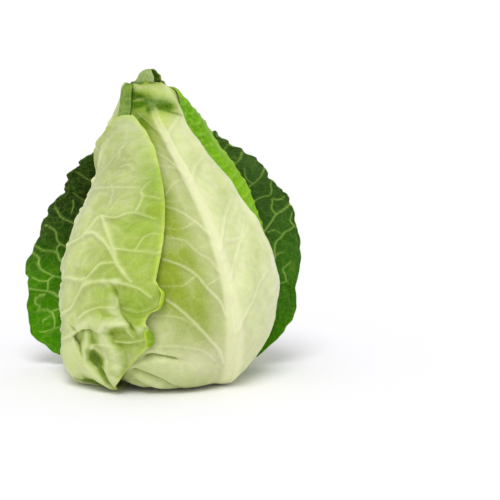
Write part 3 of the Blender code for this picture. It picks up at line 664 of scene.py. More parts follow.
def curve(knots, at):
    """Smooth curve through (position, value) knots that never swings past them, level beyond its two ends."""
    x = np.array([k[0] for k in knots], float)
    y = np.array([k[1] for k in knots], float)
    at = np.asarray(at, float)
    if len(knots) == 1:
        return np.full(at.shape, y[0])
    rise = np.diff(y) / np.diff(x)
    before, after = rise[:-1], rise[1:]
    same_way = before * after > 0
    inner = np.where(same_way, 2 * before * after / np.where(same_way, before + after, 1), 0)
    slope = np.concatenate([rise[:1], inner, rise[-1:]])
    at = np.clip(at, x[0], x[-1])
    i = np.clip(np.searchsorted(x, at, side="right") - 1, 0, len(x) - 2)
    step = x[i + 1] - x[i]
    t = (at - x[i]) / step
    return (
        (2 * t**3 - 3 * t**2 + 1) * y[i]
        + (t**3 - 2 * t**2 + t) * step * slope[i]
        + (3 * t**2 - 2 * t**3) * y[i + 1]
        + (t**3 - t**2) * step * slope[i + 1]
    )


def soft_step(x, start, end):
    """0 before start, 1 after end, and smooth between them."""
    t = np.clip((x - start) / (end - start), 0, 1)
    return t * t * (3 - 2 * t)


def hump(distance, width):
    """1 on a line, and falling softly to 0 within about two widths of it."""
    return np.exp(-((distance / width) ** 2))


def plateau(x, middle, length):
    """1 over most of a length round the middle, and 0 soon after it."""
    return np.exp(-(((x - middle) / (length / 2)) ** 4))


def profile_knots():
    """The head's profile as (along, radius) and (along, height) knots."""
    radii, heights, along = [], [], 0.0
    for i, (radius, height) in enumerate(HEAD_PROFILE):
        if i:
            before = HEAD_PROFILE[i - 1]
            along += math.hypot(radius - before[0], height - before[1])
        radii.append((along, radius))
        heights.append((along, height))
    return radii, heights


RADII, HEIGHTS = profile_knots()
HEAD_LENGTH = RADII[-1][0]


def section(along):
    """Radius and height of the head at a distance along its profile, and its outward direction there."""
    reach = 0.5
    along = np.clip(along, 0, HEAD_LENGTH - reach)
    ahead, behind = along + reach, np.maximum(along - reach, 0)
    d_radius = curve(RADII, ahead) - curve(RADII, behind)
    d_height = curve(HEIGHTS, ahead) - curve(HEIGHTS, behind)
    length = np.hypot(d_radius, d_height)
    return curve(RADII, along), curve(HEIGHTS, along), d_height / length, -d_radius / length


def round_points(radius, angle, height):
    """Points at a distance from the z axis, at an angle in radians that grows from the front to the right."""
    return np.stack([radius * np.sin(angle), -radius * np.cos(angle), height + 0 * angle], axis=-1)


def place(along, turn, lift):
    """Points in millimetres, lifted off the head's surface."""
    radius, height, out, up = section(along)
    height = height + up * lift
    points = round_points(radius + out * lift, np.radians(turn), height)
    points[..., 0] += curve(LEAN, height)
    return points


def head_relief(along, turn):
    """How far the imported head's own leaf edges stand out, as overlapping shingles that wind up it."""
    phase = (turn + HEAD_EDGE_TWIST * along) * HEAD_EDGES / 360.0
    phase = phase - np.floor(phase)
    shingle = soft_step(phase, 0, HEAD_EDGE_SHARE) * (1 - HEAD_EDGE_FALL * phase)
    first, last = (HEAD_LENGTH - distance for distance in HEAD_EDGE_END)
    fade = soft_step(along, *HEAD_EDGE_START) * (1 - soft_step(along, first, last))
    return HEAD_EDGE_STEP * shingle * fade


def margins(leaf, along):
    """Turns of the left margin, the midrib and the right margin."""
    share = np.clip((along - (leaf.tip - leaf.tip_round)) / leaf.tip_round, 0, 1)
    close = np.sqrt(np.clip(1 - share**2 * (1 - leaf.tip_width**2), 0, 1))
    rib = curve(leaf.rib, along)
    left = rib + (curve(leaf.left, along) - rib) * close
    right = rib + (curve(leaf.right, along) - rib) * close
    return left, rib, right


def nearest_turn(turn, rib):
    """The same direction round the head, counted from within half a turn of the midrib."""
    return rib + (turn - rib + 180) % 360 - 180


def degree_length(along):
    """Length of one degree round the head, in millimetres."""
    return np.radians(np.maximum(curve(RADII, along), LEAST_RADIUS))


def across(leaf, along, turn):
    """Where a point lies from the midrib (0) to the margins (-1 and 1), and its distance from the midrib."""
    left, rib, right = margins(leaf, along)
    from_rib = nearest_turn(turn, rib) - rib
    half = np.where(from_rib < 0, rib - left, right - rib)
    return from_rib / np.maximum(half, 0.001), from_rib * degree_length(along)


def cover(leaf, along, turn, near, far):
    """1 over the leaf and a little past its margins, falling to 0 further out."""
    left, rib, right = margins(leaf, along)
    turn = nearest_turn(turn, rib)
    outside = np.maximum(left - turn, turn - right)
    outside = np.maximum(outside, 0) * degree_length(along)
    outside = np.maximum(outside, np.maximum(along - leaf.tip, LEAF_BASE - along))
    return 1 - soft_step(outside, near, far)


def side_veins(leaf, along, distance):
    """The frame's own plain side ridges, 0 to 1, which set how far the leaves stand apart."""
    away = np.abs(distance)
    start = along - LEAF_BASE - leaf.vein_climb * away
    steps = start / leaf.vein_spacing - np.where(distance > 0, 0.5, 0)
    off = np.abs(steps - np.round(steps)) * leaf.vein_spacing
    fade = soft_step(away, *SIDE_VEIN_START) * (1 - SIDE_VEIN_LOSS * soft_step(away, *SIDE_VEIN_END))
    return hump(off, SIDE_VEIN_WIDTH) * fade


def oval(along, turn, at_along, at_turn, length, width, slant):
    """1 at a point of the blade and falling softly to 0 round it, in a slanted oval."""
    right = (turn - at_turn) * degree_length(along)
    up = along - at_along
    c, s = math.cos(math.radians(slant)), math.sin(math.radians(slant))
    lengthwise = (right * c + up * s) / (length / 2)
    sideways = (up * c - right * s) / width
    return np.exp(-(lengthwise**2) - sideways**2)


def fold_height(folds, along, turn):
    """Sum of the ridges and dents where the blade is buckled."""
    total = np.zeros(np.broadcast(along, turn).shape)
    for *place_and_size, height in folds:
        total = total + height * oval(along, turn, *place_and_size)
    return total


def midrib(leaf, along, distance):
    """How far the midrib stands out of the blade in the frame."""
    crest = np.exp(-RIB_SHARPNESS * (distance / curve(leaf.rib_width, along)) ** 2)
    return curve(leaf.rib_height, along) * crest


def fine_midrib(leaf, along, distance):
    """The midrib with a flatter crest and steeper flanks."""
    share = np.abs(distance) / curve(leaf.rib_width, along)
    crest = RIB_CREST / (1 + (share / RIB_CREST_WIDTH) ** 4) + (1 - RIB_CREST) * hump(share, RIB_FLANK_WIDTH)
    return leaf.rib_share * curve(leaf.rib_height, along) * crest


def own_lift(leaf, along, turn, folds):
    """How far a leaf stands off what lies beneath it, apart from the gap."""
    side, _ = across(leaf, along, turn)
    reach = np.minimum(np.abs(side), 1)
    flare = np.where(side < 0, curve(leaf.flare_left, along), curve(leaf.flare_right, along))
    phase = 2 * math.pi * along / leaf.ruffle_length + leaf.ruffle_phase
    phase = phase + np.where(side < 0, LEFT_PHASE, 0)
    wave = (0.5 + 0.5 * np.sin(phase)) * reach**RUFFLE_POWER
    ruffle = leaf.ruffle * wave * soft_step(along, *RUFFLE_START)
    lift = curve(leaf.stand, along) + flare * reach**leaf.flare_power + ruffle
    return np.maximum(lift + fold_height(folds, along, turn), 0)


def spread(values, reach, join):
    """Each cell joined with those within reach of it, round the head without a break."""
    for axis, mode in ((0, "edge"), (1, "wrap")):
        pads = [(0, 0), (0, 0)]
        pads[axis] = (reach, reach)
        padded = np.pad(values, pads, mode=mode)
        size = values.shape[axis]
        values = join([np.take(padded, range(k, k + size), axis) for k in range(2 * reach + 1)], axis=0)
    return values


def sample(values, along, turn):
    """A value of the map between its cells."""
    rows, columns = values.shape
    i = np.clip(np.asarray(along) / MAP_STEP, 0, rows - 1.001)
    j = (np.asarray(turn) + 180) / MAP_TURN % columns
    i0, j0 = i.astype(int), j.astype(int) % columns
    u, v = i - i0, j - np.floor(j)
    j1 = (j0 + 1) % columns
    low = values[i0, j0] * (1 - v) + values[i0, j1] * v
    high = values[i0 + 1, j0] * (1 - v) + values[i0 + 1, j1] * v
    return low * (1 - u) + high * u


def settle(lift, thick, along):
    """The lift of a leaf, pressed in where its outer face would sink below the floor."""
    _, height, _, up = section(along)
    room = (height - FLOOR_GAP) / np.maximum(-up, 0.02) - thick
    blend = np.clip(0.5 + (lift - room) / FLOOR_SOFT, 0, 1)
    return lift + (room - lift) * blend - FLOOR_SOFT / 2 * blend * (1 - blend)


def stack():
    """For each leaf in turn, a map of the height of what lies beneath it, as in the frame."""
    along = np.arange(0, HEAD_LENGTH, MAP_STEP)
    along, turn = np.meshgrid(along, np.arange(-180, 180, MAP_TURN), indexing="ij")
    top = np.full(along.shape, HEAD_EDGE_STEP)
    maps = []
    for leaf in LEAVES:
        beneath = spread(spread(top, MAP_REACH, np.max), MAP_REACH, np.mean)
        maps.append(beneath)
        _, distance = across(leaf, along, turn)
        thick = BLADE + midrib(leaf, along, distance) + leaf.vein_height * side_veins(leaf, along, distance)
        lift = settle(beneath + GAP + own_lift(leaf, along, turn, leaf.folds), thick, along)
        top = np.maximum(top, (lift + thick) * cover(leaf, along, turn, leaf.cover_near, leaf.cover_far))
    return maps


def noise(x, y, cell, seed):
    """Smooth random heights between -1 and 1, with bumps about as wide as a cell."""
    table = np.random.default_rng(seed).uniform(-1, 1, (NOISE_CELLS, NOISE_CELLS))
    u, v = x / cell + NOISE_CORNER[0], y / cell + NOISE_CORNER[1]
    i, j = np.floor(u).astype(int), np.floor(v).astype(int)
    s, t = soft_step(u - i, 0, 1), soft_step(v - j, 0, 1)
    corners = [table[(i + a) % NOISE_CELLS, (j + b) % NOISE_CELLS] for a in (0, 1) for b in (0, 1)]
    return (corners[0] * (1 - t) + corners[1] * t) * (1 - s) + (corners[2] * (1 - t) + corners[3] * t) * s


def layers(x, y, parts, seed):
    """Noises added up, each with its share, its cell and what is added to the seed."""
    return sum(share * noise(x, y, cell, seed + more) for share, cell, more in parts)


def net_distance(x, y, cell, seed):
    """Distance of each point to the nearest border between the fields of a random net."""
    table = np.random.default_rng(seed).uniform(*NET_SPREAD, (NET_CELLS, NET_CELLS, 2))
    x = x + NET_BEND * cell * noise(x, y, NET_BEND_CELL * cell, seed + 1)
    y = y + NET_BEND * cell * noise(x, y, NET_BEND_CELL * cell, seed + 2)
    i, j = np.floor(x / cell).astype(int), np.floor(y / cell).astype(int)
    places = []
    for a in range(-2, 3):
        for b in range(-2, 3):
            offset = table[(i + a) % NET_CELLS, (j + b) % NET_CELLS]
            places.append(((i + a + offset[..., 0]) * cell, (j + b + offset[..., 1]) * cell))
    all_x, all_y = np.array([p[0] for p in places]), np.array([p[1] for p in places])
    gaps = (x - all_x) ** 2 + (y - all_y) ** 2
    nearest = gaps.argmin(0)[None]
    home_x, home_y = np.take_along_axis(all_x, nearest, 0), np.take_along_axis(all_y, nearest, 0)
    apart = np.hypot(all_x - home_x, all_y - home_y)
    border = (gaps - gaps.min(0)) / (2 * np.maximum(apart, 1e-6))
    border[apart < 1e-6] = np.inf
    return border.min(0)


def smooth_path(points):
    """A vein's points joined by a smooth line of short steps."""
    points = np.array(points, float)
    steps = np.hypot(*np.diff(points, axis=0).T)
    run = np.concatenate([[0], np.cumsum(np.maximum(steps, 1e-3))])
    at = np.linspace(0, run[-1], max(2, round(run[-1] / VEIN_STEP) + 1))
    return np.stack([curve(list(zip(run, points[:, k])), at) for k in (0, 1)], axis=1)


def heading(angle):
    """One step of a growing vein."""
    return GROWN_STEP * np.array([math.cos(angle), math.sin(angle)])


def grown_veins(leaf, sign, draw):
    """Side veins by rule on one side of the midrib: they climb to the margin and fork on the way."""
    paths = []
    start = LEAF_BASE + GROWN_FIRST + (0.5 * leaf.vein_spacing if sign > 0 else 0)
    while start < leaf.tip - GROWN_LAST:
        angle = math.radians(draw.uniform(*GROWN_HEADING))
        point = np.array([0.0, start])
        path = [point]
        while len(path) < GROWN_MOST:
            angle += math.radians(draw.uniform(*GROWN_BEND))
            point = point + heading(angle) * (sign, 1)
            left, rib, right = margins(leaf, point[1])
            edge = ((rib - left) if sign < 0 else (right - rib)) * degree_length(point[1])
            if abs(point[0]) > GROWN_REACH * edge or point[1] > leaf.tip - GROWN_STEP:
                break
            path.append(point)
        if len(path) > GROWN_LEAST:
            paths.append((*leaf.grown_width, path))
            paths += forks(path, sign, draw)
        start += leaf.vein_spacing * draw.uniform(*GROWN_SPACING)
    return paths


def forks(path, sign, draw):
    """Finer veins that leave a side vein by turns up and down."""
    made = []
    for count, k in enumerate(range(FORK_EVERY, len(path) - 1, FORK_EVERY)):
        along_vein = path[k] - path[k - 1]
        aside = FORK_ANGLE if count % 2 else -FORK_ANGLE
        angle = math.atan2(along_vein[1], along_vein[0]) + sign * math.radians(aside)
        point = path[k]
        fork = [point]
        for _ in range(draw.integers(*FORK_STEPS)):
            angle += math.radians(draw.uniform(-FORK_BEND, FORK_BEND))
            point = point + heading(angle)
            fork.append(point)
        made.append((*FORK_WIDTH, fork))
    return made


def flat_path(leaf, points):
    """(along, turn) points as distances from the midrib and up the leaf."""
    along, turn = np.array(points, float).T
    return np.stack([(turn - curve(leaf.rib, along)) * degree_length(along), along], axis=1)


def line_distance(path, x, y, reach):
    """Which points lie near a line, and their distance from it, side of it and share of the way along it."""
    line = smooth_path(path)
    low, high = line.min(0) - reach, line.max(0) + reach
    near = (x > low[0]) & (x < high[0]) & (y > low[1]) & (y < high[1])
    px, py = x[near], y[near]
    best, side, share = np.full(px.shape, reach), np.zeros(px.shape), np.zeros(px.shape)
    for k, (a, b) in enumerate(zip(line, line[1:])):
        d = b - a
        t = np.clip(((px - a[0]) * d[0] + (py - a[1]) * d[1]) / max(d @ d, 1e-9), 0, 1)
        gap = np.hypot(px - a[0] - t * d[0], py - a[1] - t * d[1])
        closer = gap < best
        best[closer] = gap[closer]
        share[closer] = (k + t[closer]) / (len(line) - 1)
        side[closer] = np.sign(d[0] * (py - a[1]) - d[1] * (px - a[0]))[closer]
    return near, best, side, share


def vein_relief(leaf, x, y, line_width):
    """For each point, how far main veins stand out, how clearly they show, and the way to the nearest one."""
    draw = np.random.default_rng(leaf.seed)
    paths = [(start, end, flat_path(leaf, points)) for start, end, points in leaf.veins]
    for sign, grown in zip((-1, 1), leaf.grown):
        if grown:
            paths += grown_veins(leaf, sign, draw)
    tall, shown = np.zeros(x.shape), np.zeros(x.shape)
    nearest = np.full(x.shape, VEIN_SEARCH)
    for start, end, path in paths:
        near, distance, _, share = line_distance(path, x, y, VEIN_SEARCH)
        width = start + (end - start) * share
        ridge = np.minimum(width / FULL_VEIN, 1) * hump(distance, RIDGE_SHARE * width + RIDGE_MORE)
        line = np.minimum(width / leaf.full_vein, 1) * hump(distance, line_width * (width + LINE_MORE))
        tall[near] = np.maximum(tall[near], ridge)
        shown[near] = np.maximum(shown[near], line)
        nearest[near] = np.minimum(nearest[near], distance)
    return tall, shown, nearest


def crease_height(leaf, x, y):
    """Sum of the folds that run along lines, each with a steep and a gentle side."""
    total = np.zeros(x.shape)
    for height, left_width, right_width, points in leaf.creases:
        reach = CREASE_REACH * max(left_width, right_width)
        near, distance, side, share = line_distance(flat_path(leaf, points), x, y, reach)
        ends = soft_step(share, 0, CREASE_END) * (1 - soft_step(share, 1 - CREASE_END, 1))
        width = np.where(side < 0, left_width, right_width)
        total[near] += height * hump(distance, width) * (CREASE_LEAST + (1 - CREASE_LEAST) * ends)
    return total


def corner_heights(corners, x, y):
    """Heights between the corners of a crumpled part, flat on each triangle of corners and 0 outside them."""
    places = [Vector((c[0], c[1])) for c in corners]
    points, _, triangles, origins, *_ = delaunay_2d_cdt(places, [], [], 0, 1e-6)
    heights = [corners[o[0]][2] for o in origins]
    total = np.zeros(x.shape)
    for i, j, k in triangles:
        a, b, c = points[i], points[j], points[k]
        area = (b.x - a.x) * (c.y - a.y) - (c.x - a.x) * (b.y - a.y)
        u = ((b.x - x) * (c.y - y) - (c.x - x) * (b.y - y)) / area
        v = ((c.x - x) * (a.y - y) - (a.x - x) * (c.y - y)) / area
        within = (u >= 0) & (v >= 0) & (u + v <= 1)
        flat = heights[i] * u + heights[j] * v + heights[k] * (1 - u - v)
        total[within] = flat[within]
    return total


def crumple_height(leaf, x, y):
    """How far a crumpled part stands towards the front, with its creases a little rounded and uneven."""
    if not leaf.crumple:
        return np.zeros(x.shape)
    flat = flat_path(leaf, [c[:2] for c in leaf.crumple])
    corners = [(px, py, c[2]) for (px, py), c in zip(flat, leaf.crumple)]
    x = x + CREASE_WANDER * noise(x, y, CREASE_WANDER_CELL, leaf.seed + 8)
    y = y + CREASE_WANDER * noise(x, y, CREASE_WANDER_CELL, leaf.seed + 9)
    steps = [(0, 0), (CREASE_ROUND, 0), (-CREASE_ROUND, 0), (0, CREASE_ROUND), (0, -CREASE_ROUND)]
    return sum(corner_heights(corners, x + a, y + b) for a, b in steps) / len(steps)


TOWARDS_VIEWER = np.array([0.0, -1.0, 0.0])


def mix(a, b, share):
    """Two colours mixed, with a share of the second for each point."""
    share = np.asarray(share)[..., None]
    return np.asarray(a) * (1 - share) + np.asarray(b) * share


def beyond(leaf, along):
    """How far the blade reaches past the frame's left and right margins, in degrees."""
    turned = sum(r.width * r.beyond * plateau(along, r.along, r.length) for r in leaf.rolls)
    return curve(leaf.tucked, along), turned / degree_length(along)


def rolled(leaf, along, turn):
    """Where the rolled parts leave the blade (a turn), and their way to the right and outwards from there."""
    right = margins(leaf, along)[2] + beyond(leaf, along)[1]
    inside = (right - turn) * degree_length(along)
    shift, rise = np.zeros(along.shape), np.zeros(along.shape)
    held = turn
    for roll in leaf.rolls:
        past = np.maximum(roll.width * plateau(along, roll.along, roll.length) - inside, 0)
        bent = np.minimum(past / roll.radius, math.radians(roll.angle))
        straight = past - bent * roll.radius
        shift = shift + (roll.radius * np.sin(bent) + straight * np.cos(bent))
        rise = rise + roll.radius * (1 - np.cos(bent)) + straight * np.sin(bent)
        held = held - past / degree_length(along)
    return held, shift, rise


def unit(directions):
    """Directions with a length of 1."""
    return directions / np.maximum(np.linalg.norm(directions, axis=-1, keepdims=True), 1e-9)


def outward(points):
    """Directions away from the head at the points of a grid, smoothed over their neighbours."""
    rows, columns = points.shape[:2]
    normal = np.cross(np.gradient(points, axis=1), np.gradient(points, axis=0))
    for _ in range(NORMAL_ROUNDS):
        padded = np.pad(unit(normal), ((1, 1), (1, 1), (0, 0)), mode="edge")
        normal = sum(padded[i:i + rows, j:j + columns] for i in range(3) for j in range(3))
    return unit(normal)


def leaf_grid(leaf, columns, crowded):
    """Along and turn of the points of a face, and where they lie between the margins, in rows up the leaf."""
    share = np.linspace(0, 1, round(leaf.rows * FINENESS) + 1) ** ROW_POWER
    side = 2 * np.linspace(0, 1, round(columns * FINENESS) + 1) ** crowded - 1
    share, side = np.meshgrid(share, side, indexing="ij")
    tip = leaf.tip + leaf.tip_wave * noise(side * HALF_WIDTH, 0 * side, TIP_WAVE_CELL, leaf.seed + 14)
    along = LEAF_BASE + (tip - LEAF_BASE) * share
    left, rib, right = margins(leaf, along)
    past_left, past_right = beyond(leaf, along)
    scallop = layers(along, side * HALF_WIDTH, SCALLOPS, leaf.seed)
    scallop = leaf.teeth * np.abs(side) ** SCALLOP_POWER * scallop / degree_length(along)
    left = left - scallop - past_left
    right = right + scallop + past_right
    turn = rib + np.where(side < 0, side * (rib - left), side * (right - rib))
    return along, turn, side


def face_colours(leaf, face, at):
    """Colours of one face of a leaf, with the painted shade and light of its veins and folds among them."""
    x, y = at.x, at.along
    blade = mix(face.blade, face.blade, np.zeros(x.shape))
    wander = layers(x, y, SWEEP_WANDER, leaf.seed)
    for start, end, colour in face.sweeps:
        blade = mix(blade, colour, soft_step(x + wander, start, end))
    blade = mix(blade, face.edge, EDGE_TINT_SHARE * soft_step(-at.to_edge, -EDGE_TINT, 0))
    for *place_and_size, colour, amount in face.tints:
        blade = mix(blade, colour, np.minimum(amount * oval(y, at.turn, *place_and_size), 1))
    # painted shade just beside the veins
    blade = blade * (1 - face.vein_shade * hump(at.near - VEIN_SHADE_FROM, VEIN_SHADE_WIDTH))[..., None]
    fields = soft_step(np.minimum(at.near, NET_COUNTS * at.net), *FIELD_REACH)
    blade = blade * (1.0 + face.fields * (FIELD_LIFT - fields[..., None] * FIELD_SHADE))
    # painted shade in dents and valleys, and painted light on bumps and crests
    for measure, colour, share, start, end in FOLD_COLOURS:
        blade = mix(blade, colour, share * soft_step(at.folds[measure], start, end))
    blade = mix(blade, face.base, 1 - soft_step(y, *face.base_reach))
    blade = blade * (1 + layers(x, y, MOTTLE, leaf.seed))[..., None]
    rib = fine_midrib(leaf, y, x) / leaf.rib_share / np.maximum(curve(leaf.rib_height, y), 0.3)
    rib = soft_step(rib, *RIB_TINT) * soft_step(leaf.tip - y, *RIB_END)
    blade = mix(blade, face.net, face.net_show * hump(at.net, NET_LINE))
    return mix(blade, face.vein, np.clip(np.maximum(face.vein_show * at.shown, face.rib_show * rib), 0, 1))


def thickness(leaf, at):
    """The blade's thickness with its midrib, veins and net, less at the margins and where it is tucked in."""
    blade = BLADE * (EDGE_THIN + (1 - EDGE_THIN) * soft_step(at.to_edge, 0, EDGE_REACH))
    raised = at.relief * (leaf.ridge * at.tall + leaf.net_ridge * hump(at.net, NET_WIDTH))
    return np.maximum(blade + fine_midrib(leaf, at.along, at.x) + raised - TUCK_THIN * at.tuck, LEAST_THICK)


def folded(leaf, at, own):
    """How far the crumpled part stands forward and the creases stand out, kept off what lies beneath."""
    forward = np.maximum(np.cos(np.radians(at.held)), LEAST_FORWARD)
    crumple = np.maximum(crumple_height(leaf, at.x, at.along), -(own + 0.5 * GAP) / forward)
    deepest = -(own + 0.5 * GAP + crumple * forward)
    return crumple, np.maximum(at.open_air * crease_height(leaf, at.x, at.along), deepest)


def unevenness(leaf, at):
    """The blade's waves and swellings, with room for the main veins that lie sunk in its inner face."""
    waves = leaf.waves * layers(at.x, at.along, WAVES, leaf.seed)
    puffed = leaf.puff * (1 - np.exp(-np.minimum(at.near, at.net) / PUFF_REACH))
    return np.maximum(at.relief * (waves + puffed), -0.5 * GAP) + leaf.sunk * at.relief * at.tall


def measured(leaf, covering, columns, crowded, line_width):
    """The points of a face with all that is measured at them on the blade."""
    at = SimpleNamespace()
    at.along, at.turn, side = leaf_grid(leaf, columns, crowded)
    at.held, at.shift, at.rise = rolled(leaf, at.along, at.turn)
    _, at.x = across(leaf, at.along, at.turn)
    at.open_air = np.ones(at.along.shape)
    for other in covering:
        hidden = cover(other, at.along, at.held, HIDDEN_NEAR, HIDDEN_FAR)
        at.open_air = np.minimum(at.open_air, 1 - hidden)
    at.relief = at.open_air * soft_step(at.along, *RELIEF_START)
    at.tall, at.shown, at.near = vein_relief(leaf, at.x, at.along, line_width)
    at.net = net_distance(at.x, at.along, leaf.net_cell, leaf.seed)
    across_edge = (1 - np.abs(side)) * np.abs(at.x) / np.maximum(np.abs(side), 0.02)
    at.to_edge = np.minimum(across_edge, leaf.tip - at.along)
    past_left = soft_step(margins(leaf, at.along)[0] - at.turn, 0, TUCK_REACH)
    at.tuck = past_left * (curve(leaf.tucked, at.along) > 0)
    return at


def leaf_face(leaf, beneath_map, covering, is_outer):
    """Points, colours and flat coordinates of the outer or the inner face of a leaf."""
    number = 0 if is_outer else 1
    crowded = 1 if is_outer else leaf.crowded
    at = measured(leaf, covering, leaf.columns[number], crowded, leaf.vein_lines[number])
    thick = thickness(leaf, at)
    own = own_lift(leaf, at.along, at.held, leaf.folds[:1] if leaf.crumple else leaf.folds)
    crumple, crease = folded(leaf, at, own)
    lift = sample(beneath_map, at.along, at.held) + GAP + own + crease + unevenness(leaf, at)
    lift = settle(lift - TUCK_IN * at.tuck, thick, at.along) + at.rise
    radius, _, out, _ = section(at.along)
    arc = np.radians(np.maximum(radius + out * lift, LEAST_RADIUS))
    points = place(at.along, at.held + at.shift / arc, lift) + crumple[..., None] * TOWARDS_VIEWER
    if is_outer:
        points = points + thick[..., None] * outward(points)
    # measures of the folds, for the painted shade and light in face_colours
    stands = crumple + crease
    valley = spread(stands, VALLEY_REACH, np.mean) - stands
    at.folds = {"bump": crumple, "dent": -crumple, "valley": valley, "crest": -valley}
    colours = face_colours(leaf, leaf.outside if is_outer else leaf.inside, at)
    return above_floor(points), colours, np.stack([at.x, at.along], axis=-1) / FLAT_UNIT


def above_floor(points):
    """Points with none below the floor."""
    return np.maximum(points, [-np.inf, -np.inf, FLOOR_GAP])


def zipped(first, second):
    """Triangles that close the strip between two rows of points of different number."""
    triangles = []
    i, j = 0, 0
    while i < len(first) - 1 or j < len(second) - 1:
        if j == len(second) - 1 or (i < len(first) - 1 and (i + 1) / len(first) <= (j + 1) / len(second)):
            triangles.append((first[i], first[i + 1], second[j]))
            i += 1
        else:
            triangles.append((first[i], second[j + 1], second[j]))
            j += 1
    return triangles


def tube_faces(rows, around):
    """The numbers of a closed band's points, and its faces."""
    number = np.arange(rows * around).reshape(rows, around)
    right = np.roll(number, -1, axis=1)
    corners = np.stack([number[:-1], right[:-1], right[1:], number[1:]], axis=-1)
    return number, corners.reshape(-1, 4).tolist()


def closed_sheet(name, outer, inner):
    """A closed mesh from the grids of two faces, each with its points, colours and flat coordinates."""
    rows, split = outer[0].shape[:2]
    points, tint, chart = (np.concatenate([o, i[:, ::-1]], axis=1) for o, i in zip(outer, inner))
    number, faces = tube_faces(rows, points.shape[1])
    bottom = zipped(number[0, :split].tolist(), number[0, split:][::-1].tolist())
    top = zipped(number[-1, :split].tolist(), number[-1, split:][::-1].tolist())
    faces += [t[::-1] for t in bottom] + top
    return finished_mesh(name, points, faces, tint, chart)


def add_object(name, data):
    """An object in the scene."""
    made = bpy.data.objects.new(name, data)
    bpy.context.scene.collection.objects.link(made)
    return made


def finished_mesh(name, points, faces, tint, chart):
    """An object from points in millimetres, with its colours and flat coordinates."""
    mesh = bpy.data.meshes.new(name)
    mesh.from_pydata((points.reshape(-1, 3) * MM).tolist(), [], faces)
    tints = mesh.color_attributes.new("tint", "FLOAT_COLOR", "POINT")
    rgba = np.concatenate([np.clip(tint.reshape(-1, 3), 0, 1), np.ones((len(mesh.vertices), 1))], axis=1)
    tints.data.foreach_set("color", rgba.astype(np.float32).ravel())
    uv = mesh.uv_layers.new(name="flat")
    corner = np.zeros(len(mesh.loops), np.int32)
    mesh.loops.foreach_get("vertex_index", corner)
    uv.data.foreach_set("uv", chart.reshape(-1, 2)[corner].astype(np.float32).ravel())
    mesh.shade_smooth()
    return add_object(name, mesh)


# The tissue's surface, in flat coordinates: scales and strengths of its noises and of the finest net.
SPECKLE_SCALE, SPECKLE_SHADE = 90.0, 0.07
NET_SCALE, NET_LINE_WIDTH, NET_COLOUR = 30.0, 0.09, (0.22, 0.25, 0.03, 1)
NET_WARP_SCALE, NET_WARP = 20.0, 0.02
BUMP_HEIGHT = 0.4 * MM
GLOW_COLOUR, GLOW_DEPTH = (0.8, 1.0, 0.25), 3.0 * MM
WAXY = 0.06


def new_material(name):
    """A material with its node tree and its shader."""
    made = bpy.data.materials.new(name)
    made.use_nodes = True
    return made, made.node_tree, made.node_tree.nodes["Principled BSDF"]


def set_inputs(node, values):
    for name, value in values.items():
        node.inputs[name].default_value = value


def add_node(tree, kind, inputs=(), **settings):
    """A shader node with its inputs' values and its settings."""
    added = tree.nodes.new("ShaderNode" + kind)
    for key, value in settings.items():
        setattr(added, key, value)
    set_inputs(added, dict(inputs))
    return added


def tissue_nodes(tree, fine_net, bump):
    """The nodes of a leaf's tissue, each under the name that TISSUE_LINKS has for it."""
    node = partial(add_node, tree)
    made = {
        "tint": node("Attribute", attribute_name="tint"),
        "flat": node("UVMap", uv_map="flat"),
        "speckle": node("TexNoise", {"Scale": SPECKLE_SCALE, "Detail": 3.0}),
        "warp": node("TexNoise", {"Scale": NET_WARP_SCALE, "Detail": 2.0}),
        "bend": node("VectorMath", {1: (NET_WARP,) * 3}, operation="MULTIPLY_ADD"),
        "cells": node("TexVoronoi", {"Scale": NET_SCALE}, feature="DISTANCE_TO_EDGE"),
        "line": node("MapRange", {
            "From Min": 0.0, "From Max": NET_LINE_WIDTH, "To Min": fine_net, "To Max": 0.0,
        }),
        "lighter": node("Mix", data_type="RGBA", blend_type="SCREEN"),
        "shade": node("MapRange", {"To Min": 1 - SPECKLE_SHADE, "To Max": 1 + SPECKLE_SHADE}),
        "vary": node("Mix", {"Factor": 1.0}, data_type="RGBA", blend_type="MULTIPLY"),
        "height": node("Math", operation="ADD"),
        "raised": node("Bump", {"Strength": bump, "Distance": BUMP_HEIGHT}),
    }
    set_inputs(made["lighter"], {"B": NET_COLOUR})
    return made


TISSUE_LINKS = [
    ("flat", "UV", "speckle", "Vector"), ("flat", "UV", "warp", "Vector"), ("flat", "UV", "bend", 2),
    ("warp", "Color", "bend", 0), ("bend", "Vector", "cells", "Vector"),
    ("cells", "Distance", "line", "Value"),
    ("line", "Result", "lighter", "Factor"), ("tint", "Color", "lighter", "A"),
    ("speckle", "Fac", "shade", "Value"),
    ("lighter", "Result", "vary", "A"), ("shade", "Result", "vary", "B"),
    ("vary", "Result", "shader", "Base Color"),
    ("line", "Result", "height", 0), ("speckle", "Fac", "height", 1),
    ("height", "Value", "raised", "Height"), ("raised", "Normal", "shader", "Normal"),
]


def leaf_material(name, roughness, glow, fine_net=0.34, bump=0.45):
    """Leaf tissue: the mesh's own tints, a fine net, faint mottling, a waxy surface and some glow within."""
    made, tree, shader = new_material(name)
    nodes = {"shader": shader, **tissue_nodes(tree, fine_net, bump)}
    for start, output, end, socket in TISSUE_LINKS:
        tree.links.new(nodes[start].outputs[output], nodes[end].inputs[socket])
    set_inputs(shader, {
        "Roughness": roughness, "Specular IOR Level": WAXY, "Subsurface Weight": glow,
        "Subsurface Radius": GLOW_COLOUR, "Subsurface Scale": GLOW_DEPTH,
    })
    return made


def dress(piece, node_name, finish):
    """Puts a piece in a node's place."""
    piece.data.materials.append(finish)
    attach(piece, "root")
    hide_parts(node_name)


def make_leaves():
    for number, (leaf, beneath) in enumerate(zip(LEAVES, stack())):
        outer, inner = (leaf_face(leaf, beneath, LEAVES[number + 1:], is_outer) for is_outer in (True, False))
        piece = closed_sheet(leaf.name + "_blade", outer, inner)
        dress(piece, leaf.name, leaf_material(leaf.name + "_tissue", leaf.roughness, leaf.glow))


